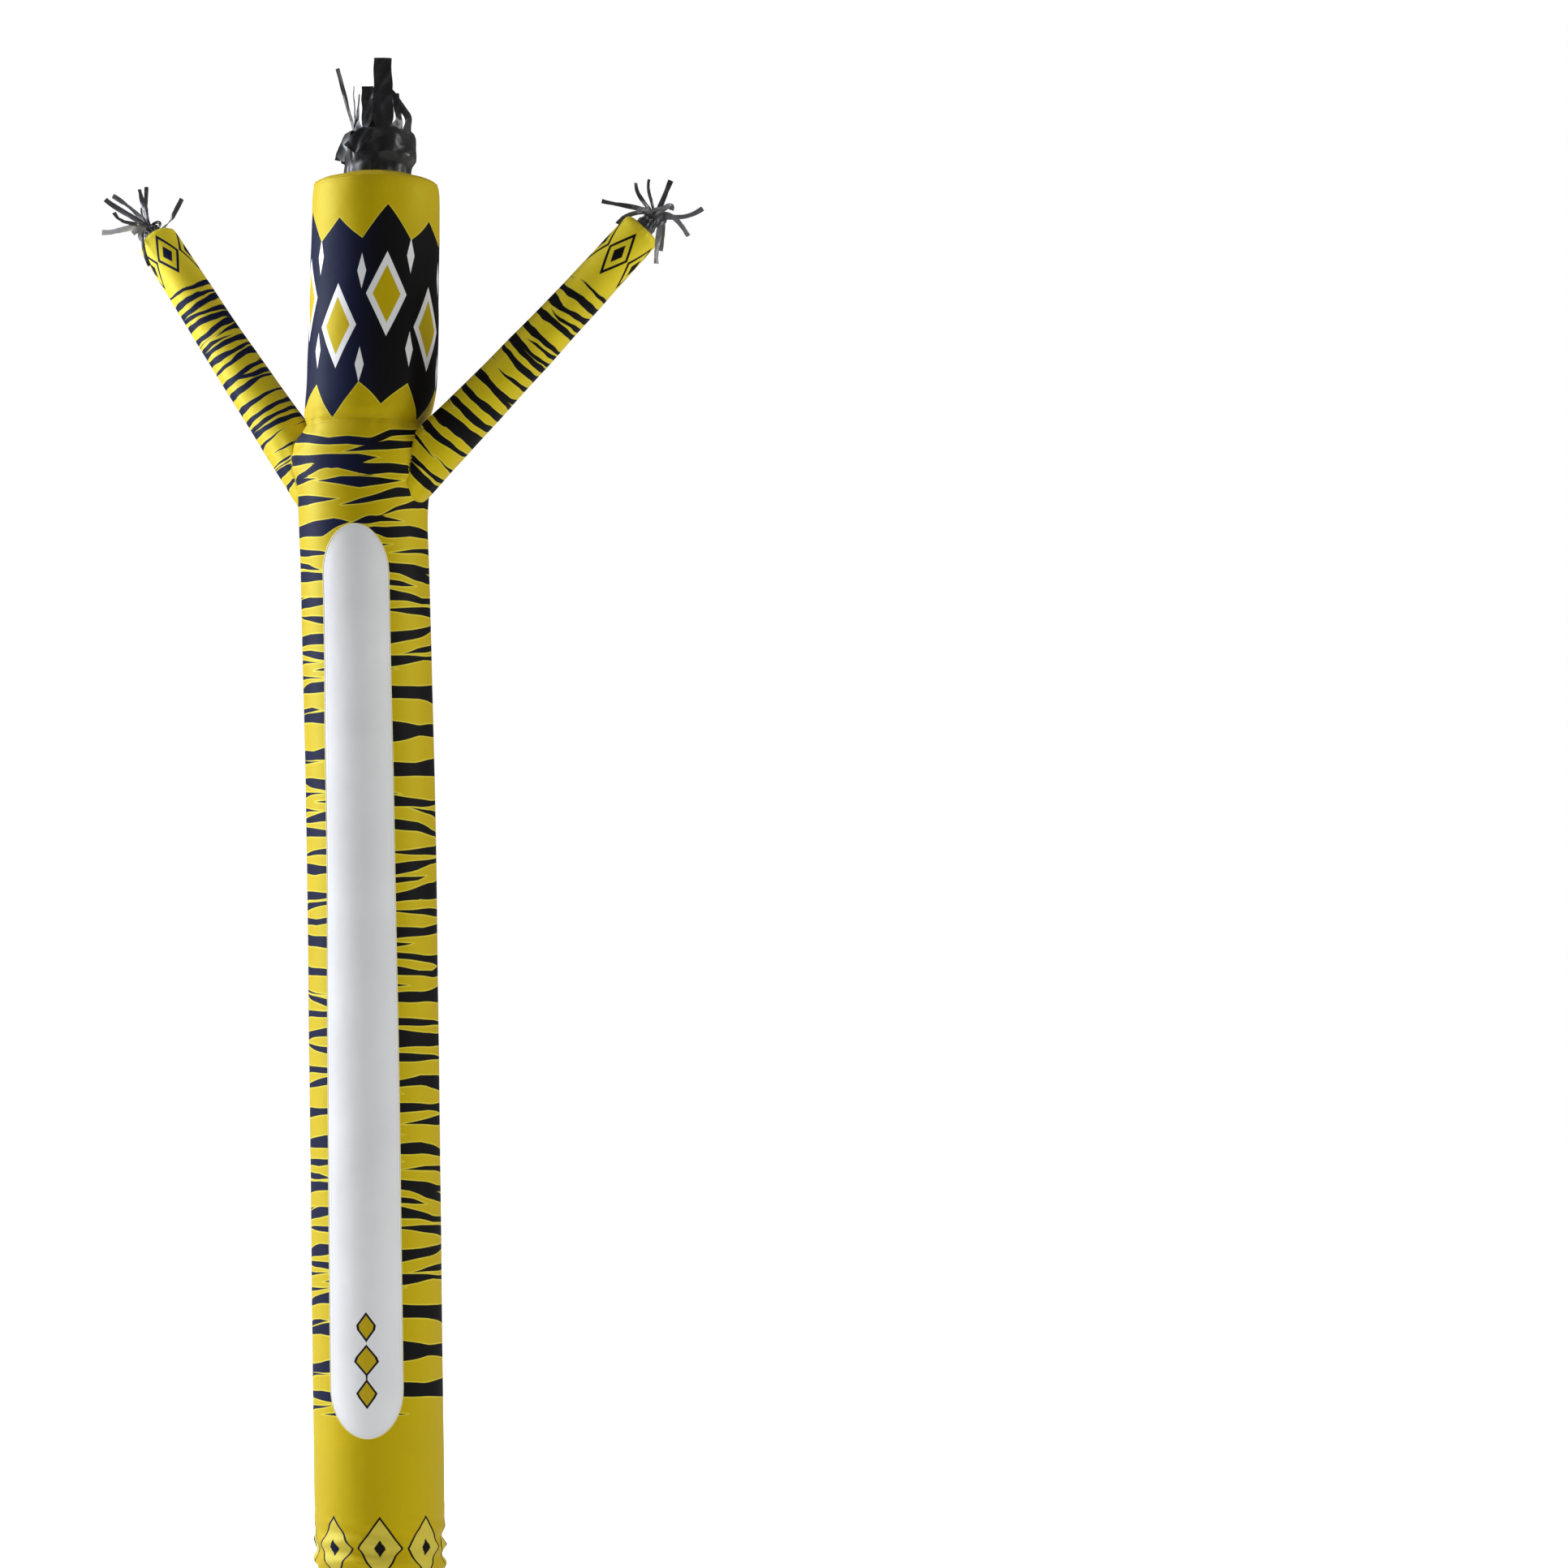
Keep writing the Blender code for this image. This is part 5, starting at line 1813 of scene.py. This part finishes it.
@dataclass
class Tuft:
    """The tied black cloth at the end of one sleeve: a gathered knot and its strips."""

    form: SleeveForm
    finishes: Finishes
    # How far out of the sleeve's end the knot's cloth lies, and its radius there
    profile: SmoothTable = SmoothTable.even(
        (-0.012, 0.0357),
        (0.006, 0.0357),
        (0.016, 0.0340),
        (0.028, 0.0280),
        (0.040, 0.0310),
        (0.050, 0.0230),
        (0.053, 0.0080),
        (0.0535, 0.0001),
    )
    middle: float = 0.026
    stack: float = 0.036
    steps: int = 26

    def knot_place(self, u: Array, v: Array) -> Array:
        """The gathered cloth of the knot, pleated towards its tie.

        Args:
            u: Places round the knot, from 0 to 1.
            v: Places along its profile, from 0 to 1.

        Returns:
            One row for each place.
        """
        reach, radius = self.profile(v)
        angle = np.radians(around(u))
        pleats = 0.0030 * np.sin(11 * angle + 1.8 * np.sin(2 * angle) + 40 * reach)
        pleats *= fade(reach, 0.004, 0.02)
        radius = np.maximum(radius + pleats * (radius > 0.01), 0.0001)
        return self.form.ring(self.form.length + reach, around(u), radius)

    def make(self) -> None:
        """Makes the knot and the strips."""
        side = self.form.size.side
        cut = Cut(f"knot_{side}", 66, np.linspace(0, 1, 41), 0.0014)
        knot = cut.make(self.knot_place, weave(0.2, 0.1))
        finish_piece(knot, self.finishes.ribbon, (f"tuft_{side}",), angle=70)
        strips, runs = zip(*(self.strip(number, size) for number, size in enumerate(HANDS[side])))
        tassel = join(strips)
        tassel.name = tassel.data.name = f"hand_strips_{side}"
        finish_piece(tassel, self.finishes.ribbon, (f"tuft_{side}",), angle=70)

    def strip(self, number: int, size: HandStrip) -> tuple[Piece, float]:
        """Makes one strip on the curve that leaves the knot along the sleeve.

        Args:
            number: Which strip.
            size: Its sizes.

        Returns:
            The strip and its length.
        """
        side = self.form.size.side
        start = self.form.axis(np.array(self.form.length + self.middle))
        start = start + np.array([0, np.clip(size.y * 0.18, -self.stack / 2, self.stack / 2), 0])
        stop = start + np.array([size.x, size.y, size.z])
        leave = start + self.form.along * size.loft + np.array([size.aside, 0, 0])
        arrive = stop + np.array([size.turn_x, 0, size.turn_z])
        share = np.linspace(0, 1, self.steps + 1)[:, None]
        rest = 1 - share
        line = start * rest**3 + leave * 3 * share * rest**2
        line = line + arrive * 3 * share**2 * rest + stop * share**3
        along = (leave - start) * rest**2 + (stop - arrive) * share**2
        along = unit(along + (arrive - leave) * 2 * share * rest)
        across = unit(np.cross(along, [0.0, 1.0, 0.0]))
        normal = np.cross(across, along)
        length = float(np.linalg.norm(np.diff(line, axis=0), axis=1).sum())
        dice = np.random.default_rng(900 + number + 50 * (side == "right"))
        sway, start_turn = dice.uniform(0.3, 0.9), dice.uniform(0, 6.3)

        def place(u: Array, v: Array) -> Array:
            """The strip's shape, which rolls a little from side to side and curls at its edges.

            Args:
                u: Places across the strip, from 0 to 1.
                v: Places along it, from 0 to 1.

            Returns:
                One row for each place.
            """
            row = np.rint(v * self.steps).astype(int)
            wide = (2 * u - 1) * size.width / 2
            free = fade(v, 0.05, 0.4)
            roll = sway * free * np.sin(6.4 * v + start_turn)
            roll = roll + math.radians(size.edge_on) * fade(v, 0.02, 0.12) * (1 - fade(v, 0.50, 0.68))
            lift = 0.0018 * free * crumple(wide / 0.012, v * length / 0.035, 60 + number)
            curl = 0.22 * free * wide**2 / (size.width / 2)
            cos, sin = np.cos(roll)[:, None], np.sin(roll)[:, None]
            turned = across[row] * cos + normal[row] * sin
            raised = normal[row] * cos - across[row] * sin
            return line[row] + turned * wide[:, None] + raised * (lift + curl)[:, None]

        steps = np.linspace(0, 1, self.steps + 1)
        cut = Cut(f"hand_strip_{side}_{number}", 4, steps, 0.0012, 0.0)
        cut.printed = lambda u, v: {"fading": size.fading * fade(v, 0.1, 0.45)}
        return cut.make(place, weave(size.width, length)), length


@dataclass
class Seams:
    """The rows of stitches that hold the cloth together."""

    form: BodyForm
    head: Head
    sleeves: tuple[SleeveForm, ...]
    finishes: Finishes
    pitch: float = 0.012
    sleeve_seam: float = 176.0

    def on_body(self, z: Array, turn: Array, loop: bool) -> Line:
        """A row on the body or the head, round it or up one of its seams."""
        points = self.form.skin(z, turn, 0.0006 if loop else 0.0002)
        return points, unit(points - self.form.middle(z)), loop

    def on_sleeve(self, sleeve: SleeveForm, run: Array, turn: Array, loop: bool) -> Line:
        """A row on a sleeve, round its root or along its seam."""
        points = sleeve.cloth(run, turn, 0.0004 if loop else 0.0002)
        return points, unit(sleeve.cloth(run, turn, 0.01) - points), loop

    def make(self) -> None:
        """Sews the body, the head, the cap, the sleeves and the hair."""
        turn = np.linspace(-180, 180, 121)[:-1]
        rings = (0.020, NECK_HEIGHT - 0.010, NECK_HEIGHT + 0.010, HEAD_TOP - 0.008)
        lines = [self.on_body(np.full_like(turn, z), turn, True) for z in rings]
        for low, high, azimuth in (
            (0.012, NECK_HEIGHT - 0.012, 91.6),
            (0.012, 3.84, -91.6),
            (NECK_HEIGHT + 0.012, HEAD_TOP - 0.010, 178.6),
        ):
            z = np.arange(low, high, self.pitch)
            lines.append(self.on_body(z, np.full_like(z, azimuth), False))
        rim = self.head.cap_place(turn, np.full_like(turn, 0.12), 0.0004)
        up = unit(rim - self.form.middle(np.full_like(turn, HEAD_TOP)) + np.array([0, 0, 0.9]))
        StitchRow("body_stitches", self.finishes.yellow_thread).make([*lines, (rim, up, True)])
        for sleeve in self.sleeves:
            start = float(sleeve.root_at(np.array(self.sleeve_seam))) + 0.016
            run = np.arange(start, 1.08, self.pitch)
            lines = [
                self.on_sleeve(sleeve, sleeve.root_at(turn) + 0.008, turn, True),
                self.on_sleeve(sleeve, run, np.full_like(run, self.sleeve_seam), False),
            ]
            StitchRow(f"sleeve_{sleeve.size.side}_stitches", self.finishes.yellow_thread).make(lines)
        rim = self.head.cap_place(turn, np.full_like(turn, 0.90), 0.0004)
        up = np.tile([0.0, 0.0, 1.0], (len(turn), 1))
        StitchRow("hair_stitches", self.finishes.black_thread).make([(rim, up, True)])


# ---------------------------------------------------------------- the studio


@dataclass(frozen=True)
class SoftLight:
    """One soft light: where it stands round the body, its width and height, its watts and its colour."""

    name: str
    azimuth: float
    height: float
    distance: float
    size: tuple[float, float]
    power: float
    colour: str
    aim_height: float = 2.6

    def make(self) -> None:
        """Hangs the light, turned to the body's middle."""
        start_clean()
        away = outwards(self.azimuth) * self.distance
        place = Vector((HEM_X + away[0], HEM_Y + away[1], self.height))
        bpy.ops.object.light_add(type="AREA", location=place)
        light = bpy.context.object
        light.name = self.name
        light.data.shape = "RECTANGLE"
        light.data.size, light.data.size_y = self.size
        light.data.energy = self.power
        light.data.color = linear(self.colour)[:3]
        aim = Vector((HEM_X, HEM_Y, self.aim_height)) - place
        light.rotation_euler = aim.to_track_quat("-Z", "Y").to_euler()


@dataclass
class Studio:
    """A white floor and backdrop, one strong soft light from the left and a weak one from the right."""

    floor_half: float = 200.0
    ambient: float = 0.365
    reflected: float = 0.06
    lights: tuple[SoftLight, ...] = (
        SoftLight("key", -102, 7.0, 11.0, (4.1, 9.4), 1950, "#F0F4FF"),
        SoftLight("fill", 80, 5.6, 9.0, (2.4, 5.0), 330, "#FFFFFF"),
    )
    camera_place: tuple[float, float, float] = (-0.038, -18.114, EYE_HEIGHT)
    yaw: float = 4.502452
    pitch: float = 3.690696
    focal_pixels: float = 6294.05
    frame_pixels: float = 1932.0

    def make(self) -> None:
        """Sets the floor, the world, the lights and the camera."""
        self.make_floor()
        self.make_world()
        for light in self.lights:
            light.make()
        self.make_camera()
        bpy.context.scene.view_settings.view_transform = "Standard"

    def make_floor(self) -> None:
        """Makes the wide pale floor, a matt vinyl sweep that is lit from all over."""
        start_clean()
        bpy.ops.mesh.primitive_grid_add(x_subdivisions=8, y_subdivisions=8, size=2 * self.floor_half)
        floor = bpy.context.object
        floor.name = floor.data.name = "studio_floor"
        material, tree, shader, place = new_material("white_vinyl_sweep")
        mottle = add_node(tree, "TexNoise", {"Vector": place, "Scale": 2.0, "Detail": 4.0})
        tone = add_node(tree, "MapRange", {0: mottle, 1: 0.3, 2: 0.7, 3: 0.86, 4: 0.88})
        glow = add_node(tree, "LightPath", {}, "Is Camera Ray")
        looks = {"Base Color": tone, "Roughness": 0.9, "Emission Color": linear("#FFFFFF")}
        feed(shader, looks | {"Emission Strength": glow})
        floor.data.materials.append(material)

    def make_world(self) -> None:
        """Makes the white backdrop, which lights the cloth less than it looks."""
        world = bpy.data.worlds.new("studio_world")
        bpy.context.scene.world = world
        world.use_nodes = True
        tree = world.node_tree
        rays = add_node(tree, "LightPath", {}).node.outputs
        dimmed = add_node(tree, "MapRange", {0: rays["Is Glossy Ray"], 3: self.ambient, 4: self.reflected})
        strength = add_node(tree, "MapRange", {0: rays["Is Camera Ray"], 3: dimmed})
        feed(tree.nodes["Background"], {"Color": linear("#FFFFFF"), "Strength": strength})

    def make_camera(self) -> None:
        """Sets up the camera."""
        start_clean()
        turn = (math.radians(90 + self.pitch), 0, -math.radians(self.yaw))
        bpy.ops.object.camera_add(location=self.camera_place, rotation=turn)
        camera = bpy.context.object
        camera.data.sensor_width = 36.0
        camera.data.lens = camera.data.sensor_width * self.focal_pixels / self.frame_pixels
        camera.data.clip_end = 1000
        bpy.context.scene.camera = camera


def main() -> None:
    """Builds the dancer and its studio."""
    logging.basicConfig(level=logging.INFO, format="%(message)s")
    Studio().make()
    finishes = Finishes()
    form = BodyForm()
    sleeves = tuple(SleeveForm(arm, form) for arm in ARMS)
    BodyTube(form, finishes, sleeves).make()
    head = Head(form, finishes)
    head.make()
    BellyPanel(form, finishes).make()
    for sleeve in sleeves:
        Sleeve(sleeve, finishes).make()
        Tuft(sleeve, finishes).make()
    Hair(form, finishes).make()
    Seams(form, head, sleeves, finishes).make()


if __name__ == "__main__":
    main()
